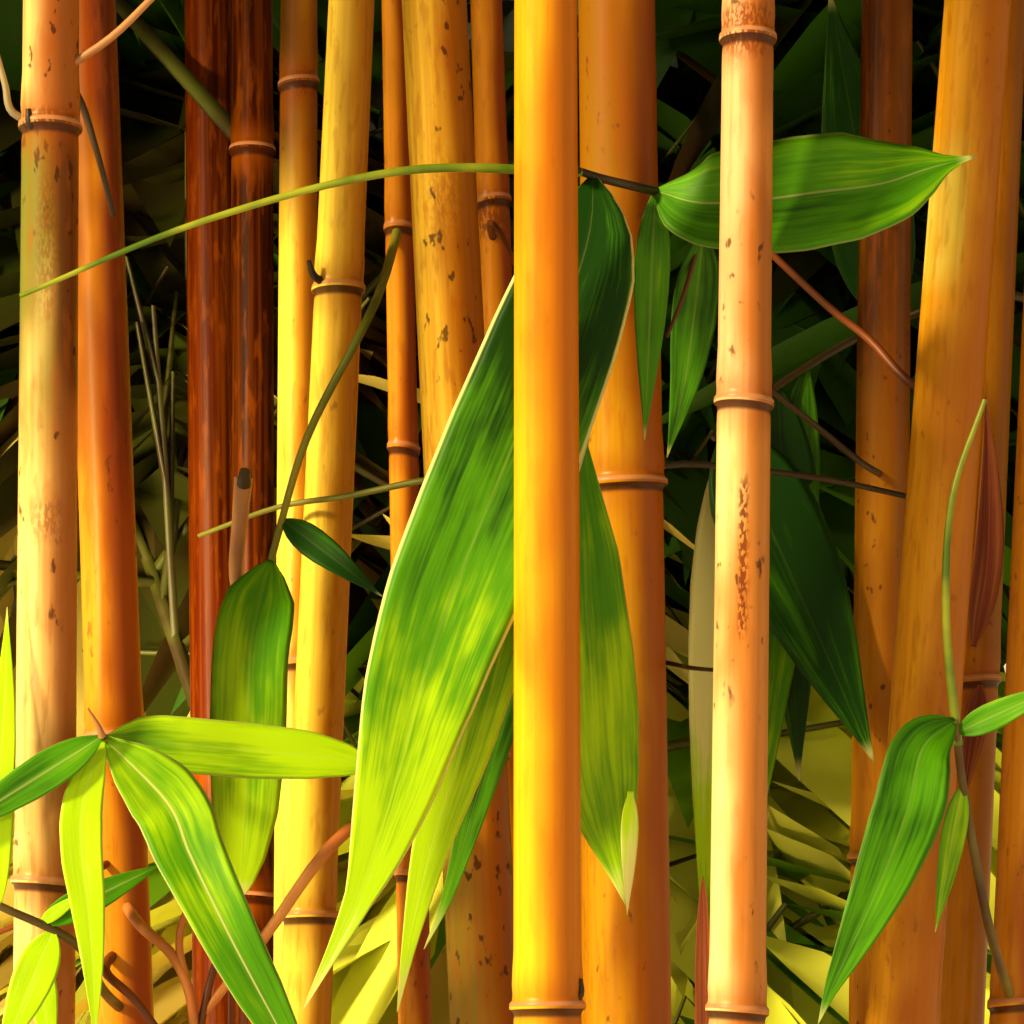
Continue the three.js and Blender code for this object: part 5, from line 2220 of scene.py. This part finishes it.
@dataclass
class Soil:
    """The soil in the pot, lumpy on top, with crumbs of bark."""

    pot: Pot
    clearance: float = 0.6
    floor_gap: float = 0.3
    sunk: float = 1.5  # how far its level lies under the soil of the CAD model
    lump: float = 3.0
    lump_size: float = 22.0
    lump_detail: tuple[float, float, int] = (1.0, 2.0, 3)  # how rough, how much finer, how often
    even_circles: int = 2  # over which the lumps come in at the edge
    circles: int = 26
    segments: int = 96
    middle: float = 0.01  # share of its foot at which the skin closes
    crumbs: float = 9000.0  # to the square metre
    crumb_size: tuple[float, float] = (1.5, 5.5)
    crumb_shape: tuple[Point, Point] = ((0.5, 0.5, 0.25), (1.3, 0.8, 0.5))  # shares of its size
    crumb_turn: tuple[Point, Point] = ((-0.4, -0.4, 0.0), (0.4, 0.4, 6.28))  # radians
    seeds: tuple[int, int, int] = (3, 5, 9)  # of the crumbs' places, shapes and turns

    def surface(self) -> np.ndarray:
        """The top of the soil.

        Returns:
            Its rings of points, from its edge to its middle.
        """
        turns = np.linspace(0, 2 * math.pi, self.segments, endpoint=False)
        edge = self.pot.inside(SOIL_TOP) - self.clearance
        rings = []
        for i in range(self.circles):
            radius = edge * (1 - i / self.circles)
            fade = min(1.0, i / self.even_circles)
            ring = []
            for turn in turns:
                place = Vector((radius * math.cos(turn), radius * math.sin(turn), 0))
                rise = noise.fractal(place / self.lump_size, *self.lump_detail) * self.lump
                ring.append((place.x, place.y, SOIL_TOP - self.sunk + rise * fade))
            rings.append(ring)
        return np.array(rings)

    def build(self) -> None:
        """Makes the soil and its crumbs."""
        top = self.surface()
        bottom = self.pot.floor + self.floor_gap
        share = (self.pot.inside(bottom) - self.clearance) / (self.pot.inside(SOIL_TOP) - self.clearance)
        foot = top[0] * (share, share, 0) + (0, 0, bottom)
        piece = Piece("soil_bed")
        piece.add(*lofted(np.concatenate([[foot * (self.middle, self.middle, 1)], [foot], top])))
        settle(piece.made(SoilFinish().material()), "soil", "soil")
        settle(self.crumb_layer(top[self.even_circles:]), "soil", "soil")

    def crumb_layer(self, top: np.ndarray) -> bpy.types.Object:
        """Crumbs of bark scattered over the soil.

        Args:
            top: The rings of points of the soil's lumpy top.

        Returns:
            The crumbs as one plain mesh.
        """
        smallest, largest = (size * MM for size in self.crumb_size)
        spread, shaped, turned = self.seeds
        values = {"Density": self.crumbs, "Smallest": smallest, "Largest": largest, "Seed": spread}
        tree, given = growth_tree("bark_crumbs", values)
        density, low, high, seed = (given.outputs[name] for name in values)
        places = {"Mesh": given, "Density": density, "Seed": seed}
        size = node(tree, RANDOM, {2: low, 3: high, "Seed": seed}, data_type="FLOAT")
        shape, turn = (
            node(tree, RANDOM, {0: ends[0], 1: ends[1], "Seed": draw}, data_type="FLOAT_VECTOR")
            for ends, draw in ((self.crumb_shape, shaped), (self.crumb_turn, turned))
        )
        laying = {
            "Points": node(tree, "GeometryNodeDistributePointsOnFaces", places),
            "Instance": node(tree, "GeometryNodeMeshIcoSphere", {"Radius": 1.0, "Subdivisions": 1}),
            "Rotation": node(tree, "FunctionNodeEulerToRotation", {0: turn}),
            "Scale": node(tree, VECTORS, {0: shape, "Scale": size}, operation="SCALE"),
        }
        finish_tree(tree, node(tree, INSTANCES, laying), given)
        bed = Piece("crumb_bed")
        bed.add(*lofted(top))
        chip = BarkFinish("bark_chip", "#6A4426", "#2C1A0E", 6.0, 0.9).material()
        skin = bed.mesh(SoilFinish().material())
        return grown("bark_crumbs", skin, tree, {**values, "Material": chip})


@dataclass(frozen=True)
class FloorFinish(Finish):
    """Pale painted screed: matt, even, a little duller here and there."""

    name: str = "pale_floor"
    paint: str = "#E6E2DA"
    cloud: float = 600.0

    def surface(self, tree: bpy.types.NodeTree) -> Inputs:
        """What the shader gets, in the floor's own space.

        Args:
            tree: The material's tree.

        Returns:
            Values, sockets and nodes for the shader's sockets.
        """
        place = node(tree, SPACE).outputs["Object"]
        dull = node(tree, NOISE, {"Vector": place, "Scale": METRE / self.cloud, "Detail": 3.0})
        roughness = node(tree, RANGE, {0: dull, 3: 0.7, 4: 0.9})
        return {"Base Color": linear(self.paint), "Roughness": roughness}


@dataclass
class Studio:
    """A pale floor and soft light, low and from the left as on the plant's own evening."""

    floor_side: float = 60000.0
    sky: str = "#F4DDB0"
    sky_strength: float = 0.62
    sun_colour: str = "#FFE2A0"
    sun_strength: float = 6.0
    sun_heading: float = 213.0  # degrees round from +X, where the light comes from
    sun_rise: float = 27.0
    sun_size: float = 7.0
    lamp_place: Point = (-640.0, -640.0, 640.0)  # of the soft lamp for what stands behind the canes
    lamp_aim: Point = (-60.0, 200.0, 690.0)
    lamp_power: float = 180.0
    lamp_cone: float = 14.0
    lamp_radius: float = 120.0

    def floor(self) -> None:
        """The floor, far larger than any view of it."""
        piece = Piece("floor")
        half = self.floor_side / 2
        corners = [(-half, -half, 0), (half, -half, 0), (half, half, 0), (-half, half, 0)]
        piece.add(np.array(corners), [(0, 1, 2, 3)])
        piece.made(FloorFinish().material())

    def hung(self, light: bpy.types.Light, place: Vector, back: Vector) -> None:
        """Hangs a light.

        Args:
            light: The light.
            place: Where it hangs, in metres.
            back: The way it faces away from.
        """
        light.color = linear(self.sun_colour)[:3]
        held = placed(light.name, light)
        held.location = place
        held.rotation_euler = back.to_track_quat("Z", "Y").to_euler()

    def build(self) -> None:
        """Makes the floor, the sky, the sun and the lamp behind the canes."""
        self.floor()
        world = bpy.data.worlds.new("sky")
        world.use_nodes = True
        background = world.node_tree.nodes["Background"]
        background.inputs["Color"].default_value = linear(self.sky)
        background.inputs["Strength"].default_value = self.sky_strength
        bpy.context.scene.world = world
        sun = bpy.data.lights.new("low_sun", "SUN")
        sun.energy = self.sun_strength
        sun.angle = math.radians(self.sun_size)
        self.hung(sun, Vector(), towards(self.sun_heading, self.sun_rise))
        lamp = bpy.data.lights.new("backdrop_lamp", "SPOT")
        lamp.energy = self.lamp_power
        lamp.spot_size = math.radians(self.lamp_cone)
        lamp.spot_blend = 1.0
        lamp.shadow_soft_size = self.lamp_radius * MM
        place = Vector(self.lamp_place)
        self.hung(lamp, place * MM, place - Vector(self.lamp_aim))
        bpy.context.scene.view_settings.view_transform = "Standard"


def main() -> None:
    """Builds the plant, its pot and the studio."""
    logging.basicConfig(level=logging.INFO, format="%(message)s")
    view = PhotoView()
    view.build()
    Studio().build()
    pot = Pot()
    pot.build()
    Soil(pot).build()
    Culms().build()
    wood = WoodTree()
    foliage = NearFoliage()
    foliage.build(wood)
    DryThings().build(wood, foliage)
    Crown(view).build(wood)


if __name__ == "__main__":
    main()
